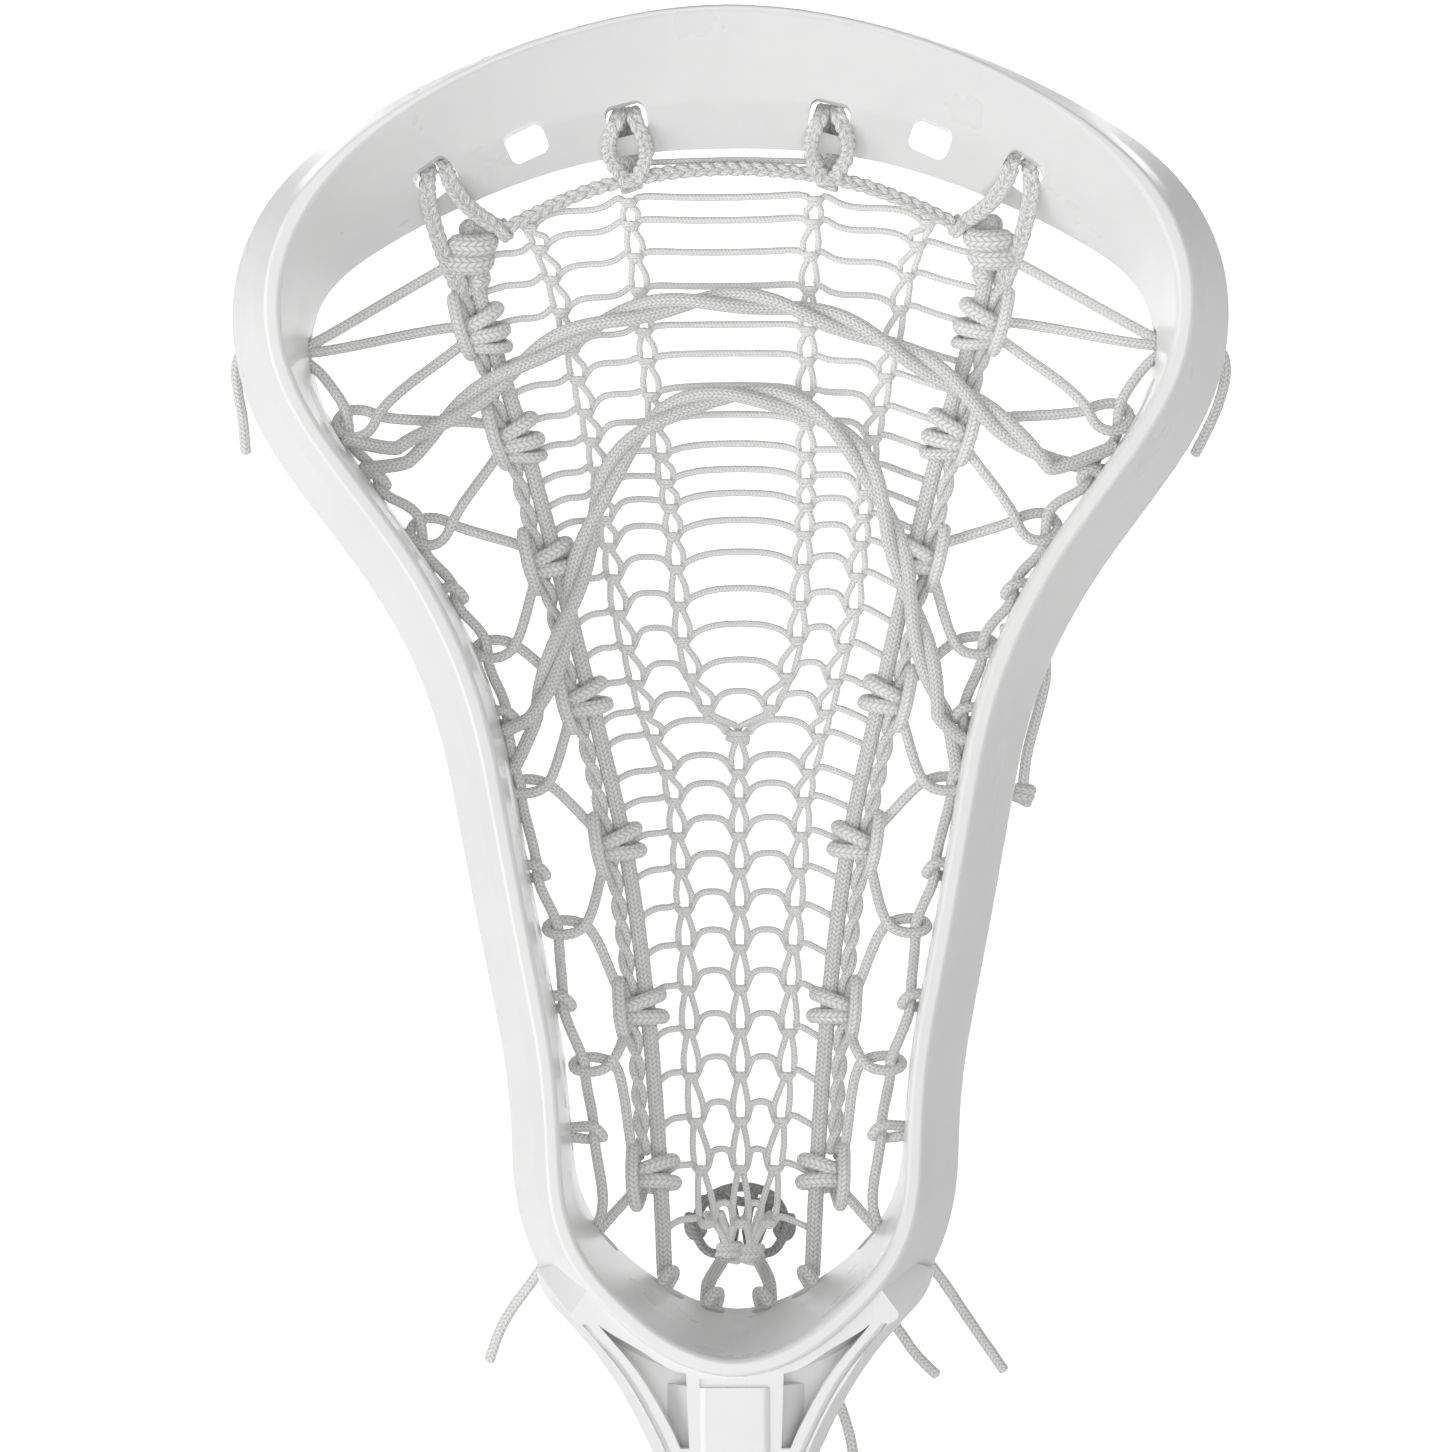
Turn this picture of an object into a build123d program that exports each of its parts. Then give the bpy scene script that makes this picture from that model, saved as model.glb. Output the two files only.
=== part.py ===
from build123d import *
import math
import os

# Women's field lacrosse stick, standing on its butt end with the head up.
# X is across the head, Y runs from the open face of the head (-Y) to the pocket (+Y),
# Z runs up the shaft. The origin is the centre of the flat end of the butt cap.
# Millimetres throughout. Sections of the head use u (outward, in the plane of the
# face) and v (back from the front rim).

# ---- shaft and butt cap ----
SHAFT_WIDTH = 25.4          # across the side flats, along X
SHAFT_DEPTH = 23.4          # across the front and back flats, along Y
SHAFT_CHAMFER = 7.2         # corner cut that makes the section eight-sided
SHAFT_WALL = 1.7
SHAFT_EDGE_RADIUS = 1.4
SHAFT_LENGTH = 776.0
CAP_END = 5.0               # rubber under the end of the shaft
CAP_WALL = 2.2
CAP_GRIP = 36.0             # how far the cap reaches up the shaft
CAP_CLEARANCE = 0.05
CAP_ROUND = 1.6

# ---- socket and throat of the head ----
SOCKET_CLEARANCE = 0.15
SOCKET_WALL = 3.4
SOCKET_DEPTH = 64.0         # length of shaft held inside the head
SOCKET_ROUND = 3.0
COLLAR_HEIGHT = 9.0
COLLAR_PROUD = 1.2
STOP_ABOVE_SHAFT = 13.0     # end of the shaft up to the front lip of the ball stop
LIP_WIDTH = 3.4             # lip of the ball stop
RIB_WIDTH = 3.6             # side ribs of the throat, inside their grooves
SLOPE_WIDTH = 3.0           # sloping outer strip of the throat, seen from the front
SLOPE_DEPTH = 6.5
GROOVE_IN = 3.6             # groove in from the throat's side
GROOVE_WIDTH = 1.3
GROOVE_DEPTH = 1.4
BEAM_WIDTH = 21.6           # middle beam of the throat
PANEL_TOP = 8.0             # half width of the beam's sunk panel at its top and foot
PANEL_FOOT = 5.2
PANEL_DEPTH = 0.5
RECESS_DEPTH = 7.5
# the throat's upper corner and where its edge meets the rim, (x, height above the stop)
FRONT_SHOULDER = ((39.4, 9.8), (32.6, 15.0))
SIDE_SHOULDER = ((44.2, 19.0), (37.6, 21.0))
BEAM_SET_BACK = 0.8         # throat's faces lie this far inside the socket's

# ---- head-fastening screw ----
SCREW_RADIUS = 2.05
SCREW_LENGTH = 11.0
SCREW_HEAD_RADIUS = 4.0
SCREW_HEAD_HEIGHT = 2.6
SCREW_UP_SOCKET = 22.0      # screw axis above the lower end of the socket
SCREW_CLEARANCE = 0.2
PILOT_CLEARANCE = 0.03
SLOT_WIDTH = 1.2

# ---- head outline, seen from the front: inner edge of the rim, right half ----
# (x, height above the ball stop's lip), from the tip of the scoop to the ball stop.
# Heights here and below are drawn for a bowl of DRAWN_LENGTH, and up() moves them to
# where they are in one of BOWL_LENGTH. The ball stop's corners stay as they are.
BOWL_LENGTH = 297.0
DRAWN_LENGTH = 297.0
STOP_CORNERS_TO = 34.0
INNER_RIM = [
    (0.0, DRAWN_LENGTH), (38.0, 290.8), (71.0, 275.8), (92.0, 256.2), (99.4, 232.0),
    (93.5, 211.6), (81.5, 194.3), (64.2, 167.8), (55.2, 145.7), (48.8, 114.8),
    (43.0, 83.9), (38.8, 56.0), (37.6, 36.0), (35.6, 27.6), (32.0, 21.2), (27.0, 15.0),
    (20.8, 9.2), (14.2, 4.4), (7.2, 1.2), (0.0, 0.0),
]
LIP_POINTS = 5              # last points of the rim that the top of the throat follows
# wall sections (u, v) at shares of the way from scoop tip to ball stop; each runs
# inner lip, rim face, outer flange, outer wall, string rail, back edge, inner wall
SECTIONS = {
    0.00: [(0, 0.7), (0.5, 0), (1.2, 0), (1.6, 0.8), (1.7, 2.0), (1.2, 3.6), (-3.4, 8.4),
           (-9.6, 13.9), (-15.4, 19.2), (-18.8, 24.0), (-22.4, 29.0), (-27.2, 29.0), (-17.6, 17)],
    0.10: [(0, 0.8), (0.5, 0), (1.4, 0), (2.0, 2.0), (2.5, 5.2), (2.3, 7.4), (-2.2, 8.6),
           (-7.4, 14.0), (-12.4, 19.5), (-15.6, 25.0), (-19.2, 31.0), (-24.3, 31.0), (-15.2, 17)],
    0.20: [(0, 0.8), (0.6, 0), (1.8, 0), (3.0, 3.4), (5.1, 8.4), (5.0, 10.9), (0.6, 9.4),
           (-3.4, 14.0), (-8.0, 20.0), (-10.8, 26.5), (-14.6, 33.0), (-20.0, 33.0), (-11.2, 17.5)],
    0.27: [(0, 0.8), (0.8, 0), (3.5, 0), (5.8, 4.6), (10.2, 11.8), (10.2, 14.4), (3.0, 10.4),
           (0.2, 16.5), (-2.8, 24.5), (-4.0, 29.5), (-7.4, 35.2), (-13.0, 35.2), (-6.6, 17.7)],
    0.34: [(0, 0.8), (0.8, 0), (3.5, 0), (6.8, 6.0), (12.8, 14.2), (12.8, 16.9), (4.6, 11.2),
           (3.2, 18.0), (2.6, 28.5), (4.4, 31.0), (3.9, 37.2), (-2.2, 37.2), (-0.7, 18.0)],
    0.60: [(0, 0.8), (0.8, 0), (3.5, 0), (6.6, 6.2), (12.4, 15.0), (12.4, 17.7), (4.8, 11.8),
           (3.8, 20.0), (3.8, 33.5), (6.2, 35.8), (6.2, 42.0), (0.0, 42.0), (0.1, 20.0)],
    0.84: [(0, 0.8), (0.8, 0), (3.3, 0), (6.2, 6.2), (11.8, 14.6), (11.8, 17.3), (4.8, 11.8),
           (3.8, 20.0), (3.6, 33.0), (5.8, 35.4), (5.8, 41.0), (-0.4, 41.0), (-0.1, 20.0)],
    0.91: [(0, 0.8), (0.8, 0), (3.5, 0), (6.0, 5.0), (10.8, 11.4), (10.8, 14.4), (4.4, 12.4),
           (2.6, 19.0), (1.0, 31.0), (2.8, 33.4), (2.0, 39.0), (-3.6, 39.0), (-1.6, 19.0)],
    1.00: [(0, 0.8), (0.8, 0), (3.5, 0), (4.4, 3.0), (5.6, 7.0), (5.6, 10.0), (3.2, 12.4),
           (1.2, 18.0), (-1.4, 29.0), (-1.0, 32.0), (-2.4, 38.0), (-7.0, 38.0), (-3.2, 18.0)],
}
STATIONS = 34
STATION_CROWDING = 0.85     # 0 spaces the sections evenly, 1 crowds them to the middle line
EDGE_RADIUS = 0.55
# the front rim dips back between the throat and the scoop: (height above the stop, y)
RIM_PROFILE = [(0.0, -16.5), (90.0, -12.0), (180.0, -11.0), (250.0, -16.0), (DRAWN_LENGTH, -23.0)]

# ---- holes in the head ----
SCOOP_HOLES = [(22.7, 275.9), (45.3, 271.1), (65.8, 263.6)]   # (x, height above the stop)
STRUNG_SCOOP_HOLES = [0, 2]           # the middle one of the three is left empty
SCOOP_HOLE = (9.2, 6.2, 1.9)          # along the rim, across it, corner radius
RAIL_HOLES = [225.0, 197.0, 171.0, 142.5, 107.0, 77.0, 47.0, 22.0]   # height above the stop
RAIL_HOLE = (8.6, 3.6, 1.6)
RAIL_HOLE_IN = 3.6                    # centre of a rail hole in from the back edge, along Y
STOP_CORNER = 30.0                    # height at which the sidewalls turn into the ball stop
STOP_HOLES = [7.2, 17.4]              # x of the holes in the ball stop, each side
STOP_HOLE = (4.6, 3.8, 1.6)
WINDOWS = [210.0, 183.0, 156.0, 124.0, 92.0, 62.0]                   # height above the stop
WINDOW = (17.0, 9.0, 3.6)
WINDOW_DEPTH = 26.4                   # v of the centre line of the windows
CUT_REACH = 16.0

# ---- pocket: (height above the stop, half width, y) down each edge of the mesh ----
RUNNER = [
    (270.0, 63.5, 8.5), (251.0, 60.0, 14.5), (231.4, 55.9, 19.5), (206.6, 48.1, 25.0),
    (178.1, 40.8, 29.2), (146.0, 33.4, 33.2), (112.4, 25.4, 36.0), (74.2, 20.6, 36.6),
    (36.3, 17.9, 32.4), (13.4, 16.9, 24.6),
]
MESH_TOP = [(-58.0, 249.0), (-36.0, 258.5), (0.0, 263.0), (36.0, 258.5), (58.0, 249.0)]
MESH_FOOT = 31.0            # height of the last row of the mesh
CHANNEL_DEEPER = 7.0        # how much deeper the middle of the mesh is than its edges
CHANNEL_ENDS = 0.8          # the same at its top and foot
MESH_THICKNESS = 2.2
RUNNER_RADIUS = 1.9
STRING_RADIUS = 1.25        # lacing string
SHOOTER_RADIUS = 2.9        # two laces twisted together
SOFT_GAP = 0.4              # air between neighbouring soft solids
KNOT_RADIUS = 4.3
KNOT_LENGTH = 8.5
BARREL_HEIGHT = 247.5       # barrel knot under the scoop, above the stop
BARREL_RADIUS = 5.6
BARREL_LENGTH = 14.0
LOOPS = [(209.7, 85.5), (184.9, 69.0), (157.9, 54.4), (126.2, 47.0), (93.6, 38.6), (62.1, 32.6)]
LOOP_HOOK = 1.8             # interlocked loops end this far each side of the loop's centre
LACING_BEND = 2.4           # tightest bend of the lacing at its knots, loops and holes
# gathered end of the mesh: (height above the stop, half width, half depth)
GATHER = [(34.0, 12.5, 2.4), (29.0, 12.0, 3.2), (22.0, 8.4, 3.6), (17.0, 5.4, 3.0)]
GATHER_Y = 42.5

# cords' routes: (x, y, height above the stop)
SHOOTER_UPPER = [
    (-81.0, 21.0, 198.0), (-67.5, 18.6, 208.6), (-52.8, 16.8, 219.5), (-37.0, 15.6, 229.4),
    (-19.6, 15.0, 235.2), (-1.2, 14.8, 237.4), (17.0, 15.0, 234.6), (35.2, 15.6, 227.2),
    (52.0, 16.8, 216.8), (65.4, 18.8, 204.0), (78.6, 21.0, 195.0),
]
SHOOTER_LOWER = [
    (-49.0, 26.6, 135.5), (-39.8, 24.6, 157.5), (-33.6, 24.2, 184.0), (-26.4, 22.8, 202.6),
    (-14.6, 21.8, 213.0), (0.4, 21.4, 216.4), (16.0, 21.8, 213.6), (28.8, 22.8, 203.8),
    (36.0, 24.2, 186.6), (42.0, 24.8, 162.0), (49.6, 26.6, 134.5),
]
TOP_STRING = [
    (-53.0, 14.6, 252.4), (-37.0, 9.8, 260.2), (-19.0, 8.2, 264.6), (0.0, 7.8, 266.2),
    (19.0, 8.2, 264.6), (37.0, 9.8, 260.2), (53.0, 14.6, 252.4),
]
BOTTOM_STRING = [(5.2, 42.0, 16.2), (5.9, 36.8, 13.0), (6.8, 30.6, 11.2), (7.2, 25.4, 11.0)]
TAILS = {
    "tail_upper_left": [
        (-104.2, 17.0, 224.6), (-107.6, 18.4, 227.4), (-111.6, 19.6, 227.6),
        (-113.8, 20.0, 223.0), (-113.0, 19.8, 216.4), (-111.6, 19.2, 209.6),
        (-111.2, 18.6, 202.6),
    ],
    "tail_upper_right": [
        (104.2, 17.0, 224.6), (107.8, 18.6, 226.4), (111.6, 19.8, 225.0),
        (112.8, 20.2, 220.0), (111.2, 20.4, 213.4), (108.4, 20.2, 206.8),
        (105.0, 19.6, 200.6),
    ],
    "tail_side_right": [
        (60.6, 21.6, 161.8), (66.4, 19.6, 161.4), (70.6, 17.0, 157.8), (71.2, 15.6, 151.0),
        (69.4, 15.2, 143.6), (67.2, 15.6, 136.2), (65.8, 16.6, 129.2), (65.4, 17.6, 122.6),
    ],
    "tail_lower_left": [
        (-40.0, 17.8, 22.4), (-43.6, 19.4, 18.4), (-47.4, 21.0, 12.8), (-51.6, 21.8, 7.4),
        (-55.2, 21.6, 1.4), (-57.2, 21.0, -5.4),
    ],
    "tail_lower_right": [
        (40.0, 17.8, 22.4), (43.2, 19.6, 18.0), (47.2, 21.2, 12.4), (51.2, 22.0, 6.2),
        (55.8, 21.8, -0.6), (60.8, 21.0, -7.8),
    ],
    "tail_stop_right": [
        (22.4, 21.2, 9.6), (27.6, 23.4, 8.2), (33.0, 24.0, 5.4), (37.2, 23.8, 1.0),
        (40.4, 23.4, -4.4), (45.6, 22.8, -9.0),
    ],
    "tail_throat": [
        (15.8, 25.4, 4.2), (17.4, 26.6, -2.4), (20.4, 26.4, -9.4), (23.4, 25.0, -16.2),
        (25.6, 23.6, -23.6), (26.6, 22.6, -31.4), (26.2, 22.0, -39.2),
    ],
}
TAIL_RADIUS = 1.25
TAIL_KNOT = {"tail_side_right": 3.0}    # stopper knot on the end of a tail, and its radius


def up(height):
    """Height above the stop, in a bowl of BOWL_LENGTH, of a place drawn at a height."""
    stretch = (BOWL_LENGTH - STOP_CORNERS_TO) / (DRAWN_LENGTH - STOP_CORNERS_TO)
    return height + max(0.0, height - STOP_CORNERS_TO) * (stretch - 1)


def route_up(points):
    """A route of (x, y, height), moved to where it is in a bowl of BOWL_LENGTH."""
    return [(x, y, up(height)) for x, y, height in points]


INNER_RIM = [(x, up(height)) for x, height in INNER_RIM]
RIM_PROFILE = [(up(height), y) for height, y in RIM_PROFILE]
SCOOP_HOLES = [(x, up(height)) for x, height in SCOOP_HOLES]
RAIL_HOLES = [up(height) for height in RAIL_HOLES]
WINDOWS = [up(height) for height in WINDOWS]
RUNNER = [(up(height), x, y) for height, x, y in RUNNER]
KNOTS = [RUNNER[i][0] for i in range(2, 9)]      # heights of the knots on each runner
MESH_TOP = [(x, up(height)) for x, height in MESH_TOP]
BARREL_HEIGHT = up(BARREL_HEIGHT)
LOOPS = [(up(height), x) for height, x in LOOPS]
SHOOTER_UPPER, SHOOTER_LOWER = route_up(SHOOTER_UPPER), route_up(SHOOTER_LOWER)
TOP_STRING = route_up(TOP_STRING)
TAILS = {name: route_up(route) for name, route in TAILS.items()}

# ---- levels that follow from the sizes above ----
Z_SHAFT_END = CAP_END + SHAFT_LENGTH
Z_STOP = Z_SHAFT_END + STOP_ABOVE_SHAFT
Z_SOCKET = Z_SHAFT_END - SOCKET_DEPTH


def smooth(keys, values, at, end_slope=1.0):
    """Value of a smooth curve through (key, value) points."""
    at = min(max(at, keys[0]), keys[-1])
    i = max(k for k in range(len(keys) - 1) if keys[k] <= at or k == 0)
    slopes = []
    for k in (i, i + 1):
        low, high = max(k - 1, 0), min(k + 1, len(keys) - 1)
        rise = (values[high] - values[low]) / (keys[high] - keys[low])
        slopes.append(rise if 0 < k < len(keys) - 1 else end_slope * rise)
    span = keys[i + 1] - keys[i]
    s = (at - keys[i]) / span
    return (
        values[i] * (1 + 2 * s) * (1 - s) ** 2
        + slopes[0] * span * s * (1 - s) ** 2
        + values[i + 1] * s * s * (3 - 2 * s)
        + slopes[1] * span * s * s * (s - 1)
    )


RIM_CURVE = Spline(
    *[(x, 0, z) for x, z in INNER_RIM], tangents=[(1, 0, 0), (-1, 0, 0)], tangent_scalars=[1, 1]
)


def rim_y(height):
    """Y of the front rim at a height above the ball stop."""
    return smooth([z for z, _ in RIM_PROFILE], [y for _, y in RIM_PROFILE], height)


def station(share):
    """Plane across the wall at a share of the way from scoop tip to ball stop: its x is
    outward, its y is back, and its origin is the rim's inner edge."""
    inside = min(max(share, 0.0), 1.0)
    p = RIM_CURVE.position_at(inside)
    along = RIM_CURVE.tangent_at(inside)
    out = Vector(-along.Z, 0, along.X)
    p += along * (share - inside) * RIM_CURVE.length
    return Plane(
        origin=(p.X, rim_y(p.Z), Z_STOP + p.Z), x_dir=out, z_dir=out.cross(Vector(0, 1, 0))
    )


def section_point(share, corner):
    """(u, v) of one corner of the wall's section at a share of the way round."""
    keys = sorted(SECTIONS)
    return tuple(
        smooth(keys, [SECTIONS[k][corner][axis] for k in keys], share, 0.0) for axis in (0, 1)
    )


def wall_section(share):
    """Closed outline of the wall, with small rounds at its corners."""
    corners = [Vector(*section_point(share, c)) for c in range(len(SECTIONS[0.0]))]
    edges = []
    last = None
    for i, corner in enumerate(corners):
        sides = [corners[i - 1] - corner, corners[(i + 1) % len(corners)] - corner]
        cut = min(EDGE_RADIUS, 0.3 * min(side.length for side in sides))
        ends = [corner + side.normalized() * cut for side in sides]
        if last:
            edges.append(Line(last, ends[0]))
        edges.append(Bezier(ends[0], corner, ends[1]))
        last = ends[1]
    edges.append(Line(last, edges[0] @ 0))
    return station(share) * Wire(edges)


def mirrored(shape):
    return mirror(shape, about=Plane.YZ)


def octagon(width, depth, cut, radius):
    """Eight-sided outline with rounded corners, centred on the shaft's axis."""
    w, d = width / 2, depth / 2
    right = [(w, -d + cut), (w, d - cut), (w - cut, d), (-w + cut, d)]
    corners = right + [(-x, -y) for x, y in right]
    return fillet(Polygon(*corners, align=None).vertices(), radius)


def bar(outline, low, high):
    """Straight bar of that section from one height to another."""
    return extrude(Pos(0, 0, low) * outline, high - low)


def grown(offset_by, radius):
    """The shaft's section grown by an offset."""
    slant = offset_by * (2 - math.sqrt(2))
    return octagon(
        SHAFT_WIDTH + 2 * offset_by, SHAFT_DEPTH + 2 * offset_by, SHAFT_CHAMFER + slant, radius
    )


def make_shaft():
    outside = grown(0, SHAFT_EDGE_RADIUS)
    inside = grown(-SHAFT_WALL, SHAFT_EDGE_RADIUS / 2)
    tube = bar(outside, CAP_END, Z_SHAFT_END) - bar(inside, CAP_END, Z_SHAFT_END)
    return tube - screw_hole(SCREW_RADIUS + PILOT_CLEARANCE)


def make_end_cap():
    body = bar(grown(CAP_CLEARANCE + CAP_WALL, SHAFT_EDGE_RADIUS + CAP_WALL), 0, CAP_END + CAP_GRIP)
    body = fillet(body.faces().sort_by(Axis.Z)[0].edges(), CAP_ROUND)
    body = fillet(body.faces().sort_by(Axis.Z)[-1].edges(), CAP_WALL / 3)
    return body - bar(grown(CAP_CLEARANCE, SHAFT_EDGE_RADIUS), CAP_END, 2 * CAP_END + CAP_GRIP)


def screw_hole(radius):
    """Round bar along the screw's axis, on the back of the socket only."""
    along = Plane(origin=(0, 0, Z_SOCKET + SCREW_UP_SOCKET), z_dir=(0, 1, 0))
    return along * Cylinder(
        radius, SHAFT_DEPTH * 2, align=(Align.CENTER, Align.CENTER, Align.MIN)
    )


def screw_seat():
    """Y of the face on the back of the socket that the screw's head bears on."""
    return SHAFT_DEPTH / 2 + SOCKET_CLEARANCE + SOCKET_WALL


def make_screw():
    seat = Plane(origin=(0, screw_seat(), Z_SOCKET + SCREW_UP_SOCKET), z_dir=(0, 1, 0))
    low = (Align.CENTER, Align.CENTER, Align.MIN)
    high = (Align.CENTER, Align.CENTER, Align.MAX)
    head = Cylinder(SCREW_HEAD_RADIUS, SCREW_HEAD_HEIGHT, align=low)
    head = fillet(head.faces().sort_by(Axis.Z)[-1].edges(), SCREW_HEAD_HEIGHT * 0.6)
    shank = Cylinder(SCREW_RADIUS, SCREW_LENGTH, align=high)
    shank = chamfer(shank.faces().sort_by(Axis.Z)[0].edges(), SCREW_RADIUS * 0.6)
    slots = Box(SLOT_WIDTH, SCREW_HEAD_RADIUS * 1.1, SLOT_WIDTH * 2)
    slots += Box(SCREW_HEAD_RADIUS * 1.1, SLOT_WIDTH, SLOT_WIDTH * 2)
    return seat * (head + shank - Pos(0, 0, SCREW_HEAD_HEIGHT) * slots)


def make_rim():
    """The closed wall of the head: scoop, both sidewalls and the ball stop."""
    sections = []
    for i in range(STATIONS):
        even = i / (STATIONS - 1)
        crowded = even - STATION_CROWDING * math.sin(2 * math.pi * even) / (2 * math.pi)
        sections.append(wall_section(crowded))
    right = Solid.make_loft(sections)
    return right.fuse(mirrored(right))


def throat_side():
    """Right side of the throat, seen from the front, as (x, height above the stop)."""
    socket_half = SHAFT_WIDTH / 2 + SOCKET_CLEARANCE + SOCKET_WALL
    return [
        (44.4, 21.0), (42.4, 14.4), (37.4, 7.6), (29.9, -1.4), (23.8, -11.0),
        (19.4, -20.0), (socket_half, -34.0),
    ]


def inset(points, by):
    """The same side moved toward the middle."""
    return [(x - by, z) for x, z in points]


def on_throat(face_y, outline, depth):
    """Prism from a face of the throat, both sides, to a depth along Y."""
    face = Plane(origin=(0, face_y, Z_STOP), x_dir=(1, 0, 0), z_dir=(0, -1, 0)) * outline
    prism = extrude(face, -depth)
    return prism + mirrored(prism)


def throat_half(y, by, shoulder, corner):
    """Outline of the throat's right half at one Y, its outer side moved in. The side starts
    at the shoulder, and the corner is where the shoulder's edge meets the rim."""
    side = inset([shoulder] + throat_side()[2:], by)
    foot = side[-1][1]
    lip = [(x, z - LIP_WIDTH) for x, z in INNER_RIM[-LIP_POINTS:]]
    top = corner
    edges = [
        Spline(*side, tangents=[(-0.1, -1), (0, -1)]),
        Line(side[-1], (0, foot)),
        Line((0, foot), lip[-1]),
        Spline(*lip[::-1], tangents=[(1, 0), (1, 1)]),
        Line(lip[0], top),
        Line(top, side[0]),
    ]
    return Plane(origin=(0, y, Z_STOP), x_dir=(1, 0, 0), z_dir=(0, -1, 0)) * Wire(edges)


def make_throat():
    """Body between the ball stop and the socket, recessed between ribs and a beam."""
    front, back = throat_faces()
    levels = [
        (front, SLOPE_WIDTH, *FRONT_SHOULDER), (front + SLOPE_DEPTH, 0, *SIDE_SHOULDER),
        (back - SLOPE_DEPTH, 0, *SIDE_SHOULDER), (back, SLOPE_WIDTH, *SIDE_SHOULDER),
    ]
    outlines = [throat_half(*level) for level in levels]
    body = Solid.make_loft(outlines, ruled=True)
    body = body.fuse(mirrored(body))
    return body - throat_cuts(front, 1) - throat_cuts(back, -1)


def throat_faces():
    """Y of the front and the back of the throat."""
    half = SHAFT_DEPTH / 2 + SOCKET_CLEARANCE + SOCKET_WALL
    return -half + BEAM_SET_BACK, half - BEAM_SET_BACK


def throat_cuts(face, sign):
    """Recesses, side grooves and the sunk panel of the beam on one face of the throat."""
    beam = BEAM_WIDTH / 2
    rib = inset(throat_side()[2:6], RIB_WIDTH + GROOVE_IN)
    recess = make_face([
        Spline(rib[0], *rib[1:], tangents=[(-0.6, -0.8), (-0.4, -1)]),
        Line(rib[-1], (beam - 0.6, rib[-1][1])),
        Line((beam - 0.6, rib[-1][1]), (beam, -LIP_WIDTH)),
        Spline((beam, -LIP_WIDTH), (20.6, 1.6), rib[0], tangents=[(1, 0.15), (1, 0.9)]),
    ])
    groove = inset(throat_side()[2:], GROOVE_IN)
    inner = inset(groove, GROOVE_WIDTH)
    channel = make_face([
        Spline(*groove, tangents=[(-0.6, -0.8), (0, -1)]),
        Line(groove[-1], inner[-1]),
        Spline(*inner, tangents=[(-0.6, -0.8), (0, -1)]),
        Line(inner[0], groove[0]),
    ])
    panel = make_face(Polyline(
        (0, -LIP_WIDTH - 1.2), (PANEL_TOP, -LIP_WIDTH - 1.2), (PANEL_FOOT, -30.0), (0, -30.0),
        close=True,
    ))
    cuts = on_throat(face, recess, sign * RECESS_DEPTH)
    cuts += on_throat(face, channel, sign * GROOVE_DEPTH)
    return cuts + on_throat(face, panel, sign * PANEL_DEPTH)


def make_socket():
    """Outside of the tube that takes the shaft, with a collar at its mouth."""
    wall = SOCKET_CLEARANCE + SOCKET_WALL
    tube = bar(grown(wall, SOCKET_ROUND), Z_SOCKET, Z_STOP - STOP_ABOVE_SHAFT / 2)
    collar = bar(grown(wall + COLLAR_PROUD, SOCKET_ROUND + 1), Z_SOCKET, Z_SOCKET + COLLAR_HEIGHT)
    collar = fillet(collar.faces().sort_by(Axis.Z)[0].edges(), COLLAR_PROUD * 0.8)
    collar = fillet(collar.faces().sort_by(Axis.Z)[-1].edges(), COLLAR_PROUD * 0.8)
    return tube + collar


def slot_cut(plane, size, depth):
    """Rounded slot through the wall, across a plane whose z is along the cut."""
    length, height, radius = size
    return plane * extrude(RectangleRounded(length, height, radius), depth, both=True)


def wall_plane(share, depth):
    """Plane on the wall at a depth from the rim: x along the rim, z through the wall."""
    local = station(share)
    first, last = section_point(share, 12), section_point(share, 11)
    lean = Vector(last[0] - first[0], last[1] - first[1])
    u = first[0] + lean.X * (depth - first[1]) / lean.Y
    centre = local.from_local_coords(Vector(u, depth, 0))
    through = local.from_local_coords(Vector(u + lean.Y, depth - lean.X, 0)) - centre
    return Plane(origin=centre, x_dir=local.z_dir, z_dir=through)


def share_where(done):
    """Share of the way round, from the scoop's tip, at which a test first holds."""
    low, high = 0.0, 1.0
    for _ in range(24):
        middle = (low + high) / 2
        if done(middle):
            high = middle
        else:
            low = middle
    return high


def at_height(height):
    return share_where(lambda share: RIM_CURVE.position_at(share).Z < height)


def stop_share(x):
    """Share of the way round at which the ball stop is that far from the middle."""
    past = at_height(STOP_CORNER)
    return share_where(lambda share: share > past and RIM_CURVE.position_at(share).X < x)


def share_facing(x, height):
    """Share of the way round whose section plane goes through a point inside the rim."""
    def passed(share):
        gap = Vector(x, 0, height) - RIM_CURVE.position_at(share)
        return gap.dot(RIM_CURVE.tangent_at(share)) < 0
    return share_where(passed)


def scoop_hole_plane(x, height):
    """Plane of a scoop hole, which is cut straight back along Y."""
    along = station(share_facing(x, height)).z_dir
    return Plane(origin=(x, 0, Z_STOP + height), x_dir=along, z_dir=(0, 1, 0))


def hole_plane(share, from_back):
    """Plane of a hole at a distance in from the wall's back edge."""
    return wall_plane(share, section_point(share, 11)[1] - from_back)


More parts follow.
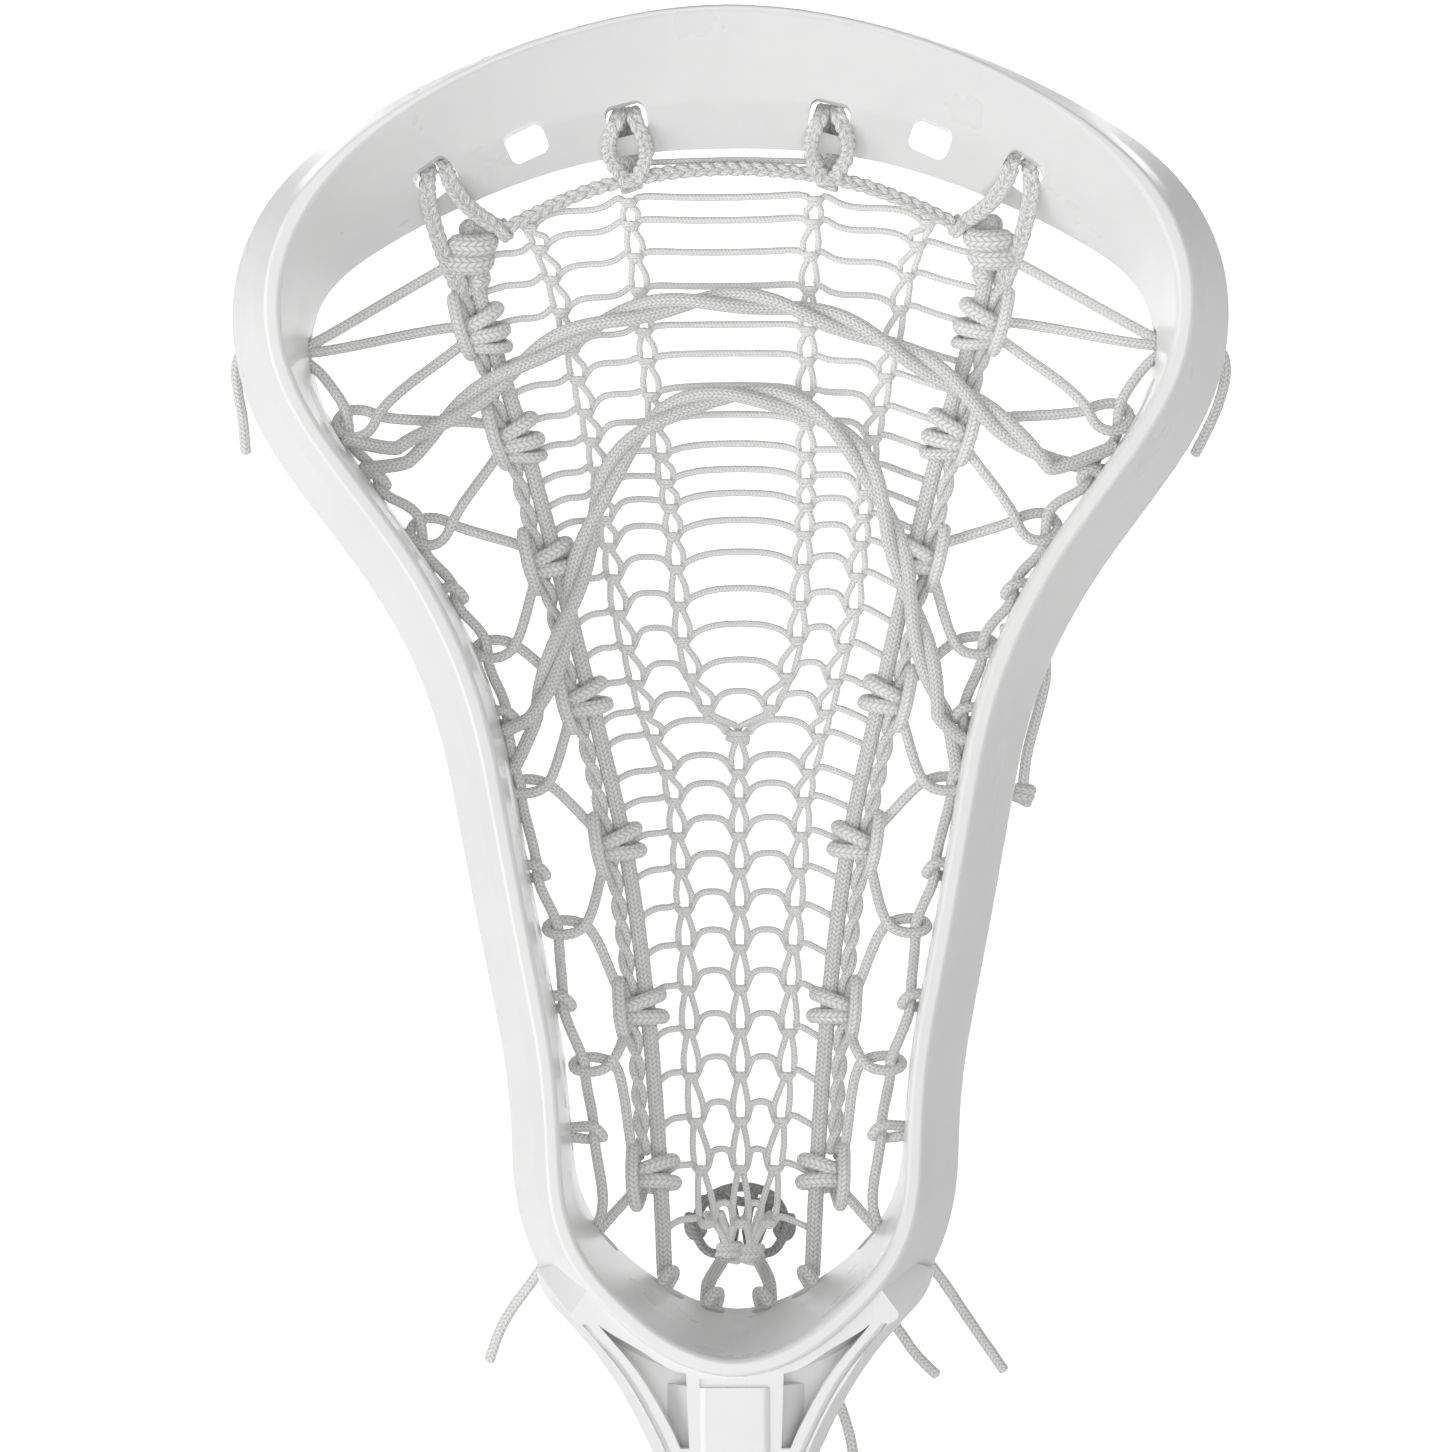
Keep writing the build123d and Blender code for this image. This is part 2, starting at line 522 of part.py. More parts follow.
def head_holes():
    """Every hole in the head: scoop, string rail, windows and ball stop."""
    right = Part()
    for x, height in SCOOP_HOLES:
        right += slot_cut(scoop_hole_plane(x, height), SCOOP_HOLE, 3 * CUT_REACH)
    for height in RAIL_HOLES:
        right += slot_cut(hole_plane(at_height(height), RAIL_HOLE_IN), RAIL_HOLE, CUT_REACH)
    for height in WINDOWS:
        right += slot_cut(wall_plane(at_height(height), WINDOW_DEPTH), WINDOW, CUT_REACH)
    for x in STOP_HOLES:
        right += slot_cut(hole_plane(stop_share(x), RAIL_HOLE_IN), STOP_HOLE, CUT_REACH / 2)
    return right + mirrored(right)


def make_head():
    outside = make_rim() + make_throat() + make_socket()
    bore = bar(grown(SOCKET_CLEARANCE, SHAFT_EDGE_RADIUS), Z_SOCKET - 1, Z_SHAFT_END + 0.5)
    head = outside - bore - head_holes() - screw_hole(SCREW_RADIUS + SCREW_CLEARANCE)
    return head


def edge_of_mesh(height):
    """(x, y) of the right edge of the pocket at a height above the stop."""
    keys = [row[0] for row in RUNNER[::-1]]
    return [smooth(keys, [row[axis] for row in RUNNER[::-1]], height) for axis in (1, 2)]


def raised(points):
    """A cord's route, moved up from the ball stop's height to the part's own frame."""
    return [Vector(x, y, Z_STOP + height) for x, y, height in points]


def cord_path(points, tightest=None):
    """Straight runs joined by tangent arcs, each as large as its runs allow."""
    radii = []
    for before, corner, after in zip(points, points[1:], points[2:]):
        runs = [corner - before, after - corner]
        turn = math.radians(runs[0].get_angle(runs[1]))
        radius = 0.45 * min(run.length for run in runs) / math.tan(turn / 2)
        radii.append(min(radius, tightest) if tightest and turn > math.pi / 3 else radius)
    return FilletPolyline(*points, radius=radii), radii


def cord(name, points, radius, tightest=None):
    """Round cord along a route, with its least bend and its volume checked."""
    path, radii = cord_path(points, tightest)
    tube = sweep(Plane(origin=path @ 0, z_dir=path % 0) * Circle(radius), path)
    fill = tube.volume / (math.pi * radius**2 * path.length)
    sizes = " ".join(f"{r:.1f}" for r in radii)
    print(f"{name}: length {path.length:.1f}, volume ratio {fill:.4f}, radii {sizes}")
    return tube


RUNNER_POINTS = raised([(x, y, height) for height, x, y in RUNNER[1:]])
RUNNER_PATH = cord_path(RUNNER_POINTS)[0]


def runner_frame(height):
    """Plane across the right runner at a height above the stop."""
    low, high = 0.0, 1.0
    for _ in range(24):
        middle = (low + high) / 2
        if RUNNER_PATH.position_at(middle).Z > Z_STOP + height:
            low = middle
        else:
            high = middle
    return Plane(origin=RUNNER_PATH.position_at(low), z_dir=RUNNER_PATH.tangent_at(low))


def knot_ring(height, radius, length):
    """Wraps of a knot round the runner, with the runner's own room left through them."""
    ring = Cylinder(radius, length)
    ring = fillet(ring.edges(), radius * 0.35)
    ring -= Cylinder(RUNNER_RADIUS + SOFT_GAP, 2 * length)
    return runner_frame(height) * ring


def rail_point(height, u):
    """Point at a string-rail hole, u outward from the wall's inner face."""
    plane = hole_plane(at_height(height), RAIL_HOLE_IN)
    outward = plane.z_dir if plane.z_dir.X > 0 else -plane.z_dir
    return plane.origin + outward * u


def loop_point(height, x, hook):
    """Tip of a lacing loop, between the string rail and the runner."""
    _, runner_y = edge_of_mesh(height)
    rail_y = rail_point(height, 0).Y
    return Vector(x + hook, (2 * rail_y + runner_y) / 3, Z_STOP + height)


def laced(tips):
    """Corners of a route whose sharp turns then reach the given tips."""
    corners = [tips[0]]
    for before, tip, after in zip(tips, tips[1:], tips[2:]):
        into, out = (tip - before).normalized(), (after - tip).normalized()
        half_turn = math.radians(into.get_angle(out)) / 2
        beyond = LACING_BEND * (1 / math.cos(half_turn) - 1) if half_turn > math.pi / 6 else 0
        corners.append(tip + (into - out).normalized() * beyond)
    return corners + [tips[-1]]


def make_rail_lacing():
    """String that zigzags between the holes of the string rail and the loops."""
    points = [rail_point(RAIL_HOLES[0], 0.6)]
    for (height, x), hole in zip(LOOPS, RAIL_HOLES[1:]):
        points += [loop_point(height, x, -LOOP_HOOK), rail_point(hole, 0.6)]
    points.append(rail_point(RAIL_HOLES[-1], -1.0))
    return cord("rail_lacing", laced(points), STRING_RADIUS, LACING_BEND)


def make_runner_lacing():
    """String that ties the runner, knot by knot, to the loops of the rail lacing."""
    side = RUNNER_RADIUS + SOFT_GAP / 2
    def beside(height):
        at = runner_frame(height).origin
        return Vector(at.X + side, at.Y, at.Z)
    start = beside(BARREL_HEIGHT) + Vector(BARREL_RADIUS, 0, 0)
    corner = rail_point(RAIL_HOLES[0], -2.6) + Vector(0, 0, 4.0)
    points = [start, corner, beside(KNOTS[0])]
    for (height, x), knot in zip(LOOPS, KNOTS[1:]):
        points += [loop_point(height, x, LOOP_HOOK), beside(knot)]
    points.append(rail_point(RAIL_HOLES[-1], -3.2) + Vector(0, 0, 3.0))
    lacing = cord("runner_lacing", laced(points), STRING_RADIUS, LACING_BEND)
    for height in KNOTS:
        lacing += knot_ring(height, KNOT_RADIUS, KNOT_LENGTH)
    clear = cord("runner_room", RUNNER_POINTS, RUNNER_RADIUS + SOFT_GAP / 2)
    return lacing - clear


def mesh_section(height):
    """Curved strip across the pocket at a height above the stop."""
    x, y = edge_of_mesh(height)
    x -= KNOT_RADIUS + SOFT_GAP
    top, foot = RUNNER[0][0], RUNNER[-1][0]
    swell = math.sin(math.pi * (top - height) / (top - foot))
    deeper = CHANNEL_ENDS + (CHANNEL_DEEPER - CHANNEL_ENDS) * swell
    front = ThreePointArc((-x, y), (0, y + deeper), (x, y))
    back = ThreePointArc((-x, y + MESH_THICKNESS), (0, y + deeper + MESH_THICKNESS),
                         (x, y + MESH_THICKNESS))
    outline = Wire([front, Line(front @ 1, back @ 1), back, Line(back @ 0, front @ 0)])
    return Pos(0, 0, Z_STOP + height) * outline


def make_mesh():
    """The woven middle of the pocket, as one curved sheet."""
    heights = [row[0] for row in RUNNER[:-2]] + [(RUNNER[-3][0] + MESH_FOOT) / 2, MESH_FOOT]
    sheet = Solid.make_loft([mesh_section(height) for height in heights])
    arch = Spline(*MESH_TOP)
    (left, low), (right, _) = MESH_TOP[0], MESH_TOP[-1]
    high = 2 * MESH_TOP[2][1] - low
    above = make_face([
        arch, Line((right, low), (2 * right, low)), Line((2 * right, low), (2 * right, high)),
        Line((2 * right, high), (2 * left, high)), Line((2 * left, high), (2 * left, low)),
        Line((2 * left, low), (left, low)),
    ])
    cut = Plane(origin=(0, 0, Z_STOP), x_dir=(1, 0, 0), z_dir=(0, -1, 0)) * above
    return Part(sheet.wrapped) - extrude(cut, 100, both=True)


def make_gather():
    """End of the mesh, drawn together behind its last row."""
    rings = []
    for height, wide, deep in GATHER:
        rings.append(Pos(0, GATHER_Y, Z_STOP + height) * Ellipse(wide, deep).wire())
    return Solid.make_loft(rings)


def tie(share, hole_u, hole_v, slanted):
    """Closed loop of string through a hole and round the wall's back edge."""
    local = station(share)
    inner, back_in = section_point(share, 12), section_point(share, 11)
    back_out = section_point(share, 10)
    clear = STRING_RADIUS + SOFT_GAP
    if slanted:
        slope = (back_in[1] - inner[1]) / (back_in[0] - inner[0])
        face_v = back_in[1] + slope * (hole_u - back_in[0])
        corners = [
            (hole_u, face_v - 2.1 * clear), (hole_u, back_in[1] + clear),
            (back_in[0] - clear, back_in[1] + clear), (back_in[0] - clear, back_in[1] - 0.9),
        ]
    else:
        corners = [
            (back_in[0] - clear, hole_v), (back_in[0] - clear, back_in[1] + clear),
            (back_out[0] + 2 * clear, back_in[1] + clear), (back_out[0] + 2 * clear, hole_v),
        ]
    points = [local.from_local_coords(Vector(u, v, 0)) for u, v in corners]
    path = FilletPolyline(*points, radius=1.5, close=True)
    start = Plane(origin=path @ 0, z_dir=path % 0)
    return sweep(start * Circle(STRING_RADIUS), path)


def make_scoop_ties():
    ties = []
    for i in STRUNG_SCOOP_HOLES:
        x, height = SCOOP_HOLES[i]
        share = share_facing(x, height)
        u = station(share).to_local_coords(Vector(x, 0, Z_STOP + height)).X
        ties.append(tie(share, u, 0, True))
    return ties + [mirrored(one) for one in ties]


def make_stop_ties():
    ties = []
    for x in STOP_HOLES:
        share = stop_share(x)
        ties.append(tie(share, 0, section_point(share, 11)[1] - RAIL_HOLE_IN, False))
    return ties + [mirrored(one) for one in ties]


def make_barrel():
    return knot_ring(BARREL_HEIGHT, BARREL_RADIUS, BARREL_LENGTH)


def make_tail(name, route):
    points = raised(route)
    tail = cord(name, points, TAIL_RADIUS)
    if name in TAIL_KNOT:
        tail += Pos(points[-1]) * Sphere(TAIL_KNOT[name])
    return tail


def soft_parts():
    """The strung pocket and the loose ends of its strings."""
    parts = {"pocket_mesh": make_mesh(), "mesh_gather": make_gather()}
    sided = {
        "runner": cord("runner", RUNNER_POINTS, RUNNER_RADIUS),
        "rail_lacing": make_rail_lacing(),
        "runner_lacing": make_runner_lacing(),
        "barrel_knot": make_barrel(),
        "bottom_string": cord("bottom_string", raised(BOTTOM_STRING), STRING_RADIUS),
    }
    for name, right in sided.items():
        parts[f"{name}_right"] = right
        parts[f"{name}_left"] = mirrored(right)
    parts["shooter_upper"] = cord("shooter_upper", raised(SHOOTER_UPPER), SHOOTER_RADIUS)
    parts["shooter_lower"] = cord("shooter_lower", raised(SHOOTER_LOWER), SHOOTER_RADIUS)
    parts["top_string"] = cord("top_string", raised(TOP_STRING), STRING_RADIUS)
    parts["scoop_ties"] = Compound(children=make_scoop_ties())
    parts["stop_ties"] = Compound(children=make_stop_ties())
    for name, route in TAILS.items():
        parts[name] = make_tail(name, route)
    return parts


def main():
    os.makedirs("parts", exist_ok=True)
    nodes = {
        "shaft": make_shaft(),
        "end_cap": make_end_cap(),
        "head_screw": make_screw(),
        "head_frame": make_head(),
        **soft_parts(),
    }
    for name, shape in nodes.items():
        shape.label = name
        export_step(shape, f"parts/{name}.step")


if __name__ == "__main__":
    main()
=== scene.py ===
import math

import bpy
import numpy as np
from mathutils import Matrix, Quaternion, Vector


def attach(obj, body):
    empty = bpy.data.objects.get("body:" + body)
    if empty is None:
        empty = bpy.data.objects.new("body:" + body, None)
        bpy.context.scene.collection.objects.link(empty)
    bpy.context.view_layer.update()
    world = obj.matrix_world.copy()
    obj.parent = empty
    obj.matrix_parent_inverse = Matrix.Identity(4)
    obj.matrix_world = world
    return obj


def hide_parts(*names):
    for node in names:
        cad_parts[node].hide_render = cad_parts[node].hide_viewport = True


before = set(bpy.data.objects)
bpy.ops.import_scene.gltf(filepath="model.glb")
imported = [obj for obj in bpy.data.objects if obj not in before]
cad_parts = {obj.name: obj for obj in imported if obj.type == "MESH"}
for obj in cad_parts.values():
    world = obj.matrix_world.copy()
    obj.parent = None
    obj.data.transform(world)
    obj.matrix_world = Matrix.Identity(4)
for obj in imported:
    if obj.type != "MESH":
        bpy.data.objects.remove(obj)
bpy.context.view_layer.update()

# Women's field lacrosse stick, head up. The strings are given as x, y and height above
# the lip of the ball stop, in millimetres: x is across the head, y runs from its open
# face (-) to the pocket (+). placed() turns them into metres in the stick's frame.
MM = 0.001
STOP = 0.794                # height of the ball stop's lip in the stick's frame, in metres
BODY = "stick"
SIDES = {"left": -1, "right": 1}

# how the braid stands out from a string's surface, and how its ends are rounded
PICK_SLANT = 0.8            # how far a pick slants over its own width, in picks
RELIEF_MEAN = 0.6           # from groove (0) to ridge (1), where the radius is the string's own
TIP_ROUND = 0.6             # length of a rounded end, in radii
COIL_POINTS = 28            # points in each turn of a coil


# ---------------------------------------------------------------- strings, as lines
def placed(points):
    """Rows of x, y, height above the stop in mm, as rows of metres in the stick's frame."""
    return np.asarray(points, float) * MM + (0, 0, STOP)


def line_of(points, fineness=8):
    """Smooth line along a route: a NURBS spline with the route's points as its control points."""
    curve = bpy.data.curves.new("route", "CURVE")
    curve.dimensions = "3D"
    spline = curve.splines.new("NURBS")
    spline.points.add(len(points) - 1)
    for point, place in zip(spline.points, points):
        point.co = (*place, 1)
    spline.order_u = 3
    spline.use_endpoint_u = True
    spline.resolution_u = fineness
    holder = bpy.data.objects.new("route", curve)
    mesh = bpy.data.meshes.new_from_object(holder)
    line = np.array([v.co for v in mesh.vertices], float)
    bpy.data.objects.remove(holder)
    bpy.data.curves.remove(curve)
    bpy.data.meshes.remove(mesh)
    return line


def lengths(line):
    """Distance along a line at each of its points."""
    return np.r_[0, np.cumsum(np.linalg.norm(np.diff(line, axis=0), axis=1))]


def even(line, step):
    """The line's points again, one every step."""
    along = lengths(line)
    at = np.linspace(0, along[-1], max(3, int(along[-1] / step) + 1))
    return np.stack([np.interp(at, along, line[:, axis]) for axis in range(3)], axis=1)


def frames(line, across=None):
    """Tangents and two cross directions along a line. Without a given direction across it,
    they turn as little as they can."""
    tangent = np.gradient(line, axis=0)
    tangent /= np.linalg.norm(tangent, axis=1)[:, None]
    if across is not None:
        side = across - tangent * (tangent @ across)[:, None]
        side /= np.linalg.norm(side, axis=1)[:, None]
        return tangent, side, np.cross(tangent, side)
    side = np.zeros_like(line)
    first = np.cross(tangent[0], (0, 1, 0))
    if np.linalg.norm(first) < 0.1:
        first = np.cross(tangent[0], (1, 0, 0))
    side[0] = first / np.linalg.norm(first)
    for i in range(1, len(line)):
        kept = side[i - 1] - tangent[i] * (side[i - 1] @ tangent[i])
        side[i] = kept / np.linalg.norm(kept)
    return tangent, side, np.cross(tangent, side)


def beside(line, right, front, across):
    """A line that runs beside another, right and front of it by these distances."""
    _, side, over = frames(line, np.asarray(across, float))
    return line + side * np.asarray(right)[..., None] + over * np.asarray(front)[..., None]


def twisted(line, radius, pitch, phase, across=(0, 1, 0), flare=None):
    """One strand of a twisted pair."""
    turn = 2 * math.pi * lengths(line) / pitch + phase
    reach = radius if flare is None else radius * flare
    return beside(line, reach * np.cos(turn), reach * np.sin(turn), across)


def plait(line, half_width, half_depth, pitch, across=(0, 1, 0)):
    """Three strands plaited along a line."""
    turn = 2 * math.pi * lengths(line) / pitch
    strands = []
    for third in range(3):
        at = turn + third * 2 * math.pi / 3
        strands.append(beside(line, half_depth * np.sin(2 * at), half_width * np.sin(at), across))
    return strands


def chain(line, half_width, half_depth, link, across=(0, 1, 0)):
    """Two strands that open into an eye in each link and cross between links."""
    turn = math.pi * lengths(line) / link
    swing = np.sign(np.sin(turn)) * np.abs(np.sin(turn)) ** 0.7
    return [
        beside(line, half_depth * np.cos(turn) * way, half_width * swing * way, across)
        for way in (-1, 1)
    ]


def coil(centre, axis, wide, deep, rise, turns, start=0.0):
    """Turns of a string round an axis, as a line. Angle 0 is towards +X, 90 degrees the back."""
    axis = np.asarray(axis, float) / np.linalg.norm(axis)
    right = np.array((1.0, 0, 0)) - axis * axis[0]
    right /= np.linalg.norm(right)
    back = np.cross(axis, right)
    back = back if back[1] > 0 else -back
    angle = start + np.linspace(0, 2 * math.pi * turns, int(COIL_POINTS * turns) + 2)
    climb = np.linspace(-0.5, 0.5, len(angle)) * rise
    return (
        np.asarray(centre, float)
        + np.cos(angle)[:, None] * wide * right
        + np.sin(angle)[:, None] * deep * back
        + climb[:, None] * axis
    )


# ---------------------------------------------------------------- strings, as meshes
class Strings:
    """Round braided strings gathered into one mesh, with the braid's own map."""

    def __init__(self):
        self.points, self.faces, self.maps, self.count = [], [], [], 0

    def add(self, line, radius, step=0.45, sides=10, relief=0.0, plaits=3, pick=1.2):
        """A string along a line in mm. relief is how far the braid stands out, as a share of
        the radius, plaits the number of columns of picks round it, pick a pick's length."""
        line = even(np.asarray(line, float), step)
        tangent, side, over = frames(line)
        along = lengths(line)
        angle = np.arange(sides) / sides
        size = np.full((len(line), sides), radius)
        if relief:
            fold = np.abs((angle[None] * plaits) % 1 - 0.5) * 2
            ridge = np.abs(np.sin(math.pi * (along[:, None] / pick + PICK_SLANT * fold)))
            size *= 1 + relief * (ridge - RELIEF_MEAN)
        tip = np.clip(np.minimum(along, along[-1] - along) / (TIP_ROUND * radius), 0, 1)
        size *= np.sqrt(np.clip(1 - (1 - tip) ** 2, 0.02, 1))[:, None]
        turn = 2 * math.pi * angle
        ring = (
            line[:, None]
            + side[:, None] * (np.cos(turn) * size)[..., None]
            + over[:, None] * (np.sin(turn) * size)[..., None]
        )
        self.points += [ring.reshape(-1, 3), np.array([line[0], line[-1]])]
        self.add_side(along, sides)
        self.add_ends(len(line), along[-1], sides)
        self.count += len(line) * sides + 2
        return self

    def add_side(self, along, sides):
        """Faces round a string between its rings, and the braid's map on them."""
        i, j = np.meshgrid(np.arange(len(along) - 1), np.arange(sides), indexing="ij")
        i, j = i.ravel(), j.ravel()
        k = (j + 1) % sides
        quads = np.stack([i * sides + j, i * sides + k, (i + 1) * sides + k, (i + 1) * sides + j], 1)
        self.faces += (quads + self.count).tolist()
        u0, u1, v0, v1 = j / sides, (j + 1) / sides, along[i], along[i + 1]
        self.maps.append(np.stack([u0, v0, u1, v0, u1, v1, u0, v1], 1).reshape(-1, 2))

    def add_ends(self, rings, length, sides):
        """Faces that close a string's two ends, and the braid's map on them."""
        base = self.count
        last_ring = base + (rings - 1) * sides
        first, last = base + rings * sides, base + rings * sides + 1
        for q in range(sides):
            r = (q + 1) % sides
            u0, u1 = q / sides, (q + 1) / sides
            self.faces.append([base + r, base + q, first])
            self.faces.append([last_ring + q, last_ring + r, last])
            self.maps.append(np.array([[u1, 0], [u0, 0], [0.5, 0]]))
            self.maps.append(np.array([[u0, length], [u1, length], [0.5, length]]))

    def made(self, name, material, slot, nodes=()):
        """The strings as one object that rides on the stick and stands for CAD nodes."""
        mesh = bpy.data.meshes.new(name)
        mesh.from_pydata(placed(np.concatenate(self.points)).tolist(), [], self.faces)
        mesh.polygons.foreach_set("use_smooth", [True] * len(mesh.polygons))
        braid = mesh.uv_layers.new(name="braid")
        braid.data.foreach_set("uv", np.concatenate(self.maps).astype(np.float32).ravel())
        mesh.materials.append(material)
        mesh.validate()
        piece = bpy.data.objects.new(name, mesh)
        bpy.context.scene.collection.objects.link(piece)
        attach(piece, BODY)
        if nodes:
            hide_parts(*nodes)
        return piece


# ---------------------------------------------------------------- materials
class Nodes:
    """A material's node tree, with short calls to add and join its nodes."""

    def __init__(self, name):
        self.material = bpy.data.materials.new(name)
        self.material.use_nodes = True
        self.tree = self.material.node_tree
        self.shader = self.tree.nodes["Principled BSDF"]

    def add(self, kind, inputs=(), **settings):
        """A node of a kind, with its inputs joined or set."""
        node = self.tree.nodes.new(kind)
        for key, value in settings.items():
            setattr(node, key, value)
        for socket, value in dict(inputs).items():
            self.put(node, socket, value)
        return node

    def put(self, node, socket, value):
        """Joins an input to another node's output, or sets it to a value."""
        if isinstance(value, bpy.types.NodeSocket):
            self.tree.links.new(value, node.inputs[socket])
        else:
            node.inputs[socket].default_value = value

    def maths(self, operation, a, b=0.5):
        """The result of one sum of two values."""
        return self.add("ShaderNodeMath", {0: a, 1: b}, operation=operation).outputs[0]

    def noise(self, scale, detail=4.0, rough=0.55, stretch=None):
        """Noise of a scale per metre of the piece, stretched if asked."""
        where = self.add("ShaderNodeTexCoord").outputs["Object"]
        if stretch:
            where = self.add("ShaderNodeMapping", {"Vector": where, "Scale": stretch}).outputs[0]
        inputs = {"Vector": where, "Scale": scale, "Detail": detail, "Roughness": rough}
        return self.add("ShaderNodeTexNoise", inputs).outputs["Fac"]

    def between(self, value, low, high, a=0.0, b=1.0):
        """A value that goes from a to b while another goes from low to high."""
        inputs = {"Value": value, "From Min": low, "From Max": high, "To Min": a, "To Max": b}
        return self.add("ShaderNodeMapRange", inputs).outputs[0]

    def colour(self, share, a, b):
        """A colour between two others."""
        made = self.add("ShaderNodeMix", {0: share}, data_type="RGBA")
        for socket, value in ((6, a), (7, b)):
            self.put(made, socket, value if isinstance(value, bpy.types.NodeSocket) else (*value, 1))
        return made.outputs[2]

    def bump(self, height, strength, distance):
        """A surface normal tilted by a height."""
        inputs = {"Height": height, "Strength": strength, "Distance": distance}
        return self.add("ShaderNodeBump", inputs).outputs[0]

    def finish(self, **sockets):
        """The material, with the shader's sockets joined or set."""
        for socket, value in sockets.items():
            self.put(self.shader, socket.replace("_", " "), value)
        return self.material


def cord_material(name, light, groove, plaits, pick, depth, rough=0.62):
    """Braided nylon: chevron picks from the braid's own map, painted shade in the grooves, with
    fuzz.
    """
    n = Nodes(name)
    place = n.add("ShaderNodeUVMap", uv_map="braid").outputs[0]
    split = n.add("ShaderNodeSeparateXYZ", {0: place})
    column = n.maths("FRACT", n.maths("MULTIPLY", split.outputs[0], float(plaits)))
    fold = n.maths("MULTIPLY", n.maths("ABSOLUTE", n.maths("SUBTRACT", column, 0.5)), 2.0)
    slant = n.maths("MULTIPLY", fold, PICK_SLANT)
    turn = n.maths("ADD", n.maths("DIVIDE", split.outputs[1], pick), slant)
    ridge = n.maths("ABSOLUTE", n.maths("SINE", n.maths("MULTIPLY", turn, math.pi)))
    edge = n.maths("SINE", n.maths("MULTIPLY", fold, math.pi))
    weave = n.maths("MULTIPLY", n.maths("POWER", ridge, 0.55), n.maths("POWER", edge, 0.35))
    hair = n.noise(5200.0, 2.0)
    soil = n.between(n.noise(38.0, 5.0), 0.42, 0.72)
    # painted shade: the groove colour darkens the braid's grooves where shade falls; the light
    # colour is the cord's own
    weave_with_groove_shade = n.colour(n.between(weave, 0.15, 0.75), groove, light)
    # soil is a real dirty tone, mixed over the painted groove shade
    soil_and_groove_shade = n.colour(n.maths("MULTIPLY", soil, 0.35), weave_with_groove_shade, tuple(c * 0.86 for c in light))
    height = n.maths("ADD", weave, n.maths("MULTIPLY", hair, 0.25))
    return n.finish(
        Base_Color=soil_and_groove_shade,
        Roughness=n.between(hair, 0.2, 0.8, rough - 0.08, rough + 0.1),
        Normal=n.bump(height, 0.75, depth),
        Sheen_Weight=0.25,
        Sheen_Roughness=0.45,
        Subsurface_Weight=0.12,
        Subsurface_Radius=(1.0, 0.95, 0.9),
        Subsurface_Scale=0.0012,
    )


def plastic_material():
    """White moulded nylon: soft gloss, faint flow marks and handling scuffs."""
    n = Nodes("moulded_white")
    cloud = n.noise(9.0, 5.0, 0.6)
    flow = n.noise(60.0, 3.0, 0.5, stretch=(1.0, 1.0, 0.18))
    grain = n.noise(1900.0, 3.0)
    scuff = n.between(n.noise(210.0, 6.0, 0.72, stretch=(1.0, 1.0, 4.0)), 0.66, 0.74)
    white = n.colour(n.between(cloud, 0.35, 0.65), (0.80, 0.80, 0.80), (0.855, 0.855, 0.85))
    marked = n.colour(n.maths("MULTIPLY", scuff, 0.12), white, (0.62, 0.62, 0.61))
    gloss = n.between(flow, 0.3, 0.7, 0.26, 0.36)
    height = n.maths("ADD", n.maths("MULTIPLY", grain, 0.5), n.maths("MULTIPLY", flow, 0.8))
    return n.finish(
        Base_Color=marked,
        Roughness=n.maths("ADD", gloss, n.maths("MULTIPLY", scuff, 0.18)),
        Normal=n.bump(height, 0.10, 0.0006),
        Subsurface_Weight=0.10,
        Subsurface_Radius=(1.0, 0.97, 0.93),
        Subsurface_Scale=0.002,
        Coat_Weight=0.15,
        Coat_Roughness=0.18,
        IOR=1.52,
    )


def shaft_material():
    """Satin anodised aluminium, brushed along the shaft, worn by the hands."""
    n = Nodes("anodised_shaft")
    brushed = n.noise(900.0, 3.0, 0.6, stretch=(1.0, 1.0, 0.012))
    cloud = n.noise(7.0, 4.0)
    scratch = n.between(n.noise(300.0, 5.0, 0.7, stretch=(1.0, 1.0, 0.05)), 0.66, 0.72)
    tone = n.colour(n.between(brushed, 0.3, 0.7), (0.60, 0.61, 0.63), (0.74, 0.75, 0.76))
    worn = n.colour(n.maths("MULTIPLY", scratch, 0.5), tone, (0.86, 0.86, 0.86))
    return n.finish(
        Base_Color=worn,
        Metallic=1.0,
        Roughness=n.between(cloud, 0.35, 0.65, 0.30, 0.42),
        Normal=n.bump(brushed, 0.18, 0.0003),
    )


def rubber_material():
    """Black moulded rubber with a fine matt skin and dust in it."""
    n = Nodes("moulded_rubber")
    skin = n.noise(2600.0, 4.0, 0.7)
    dust = n.between(n.noise(45.0, 6.0, 0.7), 0.5, 0.75)
    tone = n.colour(n.maths("MULTIPLY", dust, 0.3), (0.032, 0.032, 0.034), (0.12, 0.12, 0.115))
    return n.finish(
        Base_Color=tone,
        Roughness=n.between(skin, 0.3, 0.7, 0.66, 0.82),
        Normal=n.bump(skin, 0.35, 0.0004),
        Specular_IOR_Level=0.35,
    )


def steel_material():
    """Zinc-plated steel, turned, with a slightly yellow cast in places."""
    n = Nodes("plated_steel")
    turned = n.noise(1500.0, 3.0, 0.6, stretch=(1.0, 0.05, 1.0))
    cloud = n.noise(260.0, 4.0)
    tone = n.colour(n.between(cloud, 0.35, 0.65), (0.52, 0.51, 0.48), (0.66, 0.66, 0.65))
    return n.finish(
        Base_Color=tone,
        Metallic=1.0,
        Roughness=n.between(turned, 0.3, 0.7, 0.24, 0.40),
        Normal=n.bump(turned, 0.25, 0.0002),
    )


def finish_node(name, material):
    """Gives a carried-over CAD node its material."""
    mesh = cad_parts[name].data
    mesh.materials.clear()
    mesh.materials.append(material)


finish_node("head_frame", plastic_material())
finish_node("shaft", shaft_material())
finish_node("end_cap", rubber_material())
finish_node("head_screw", steel_material())
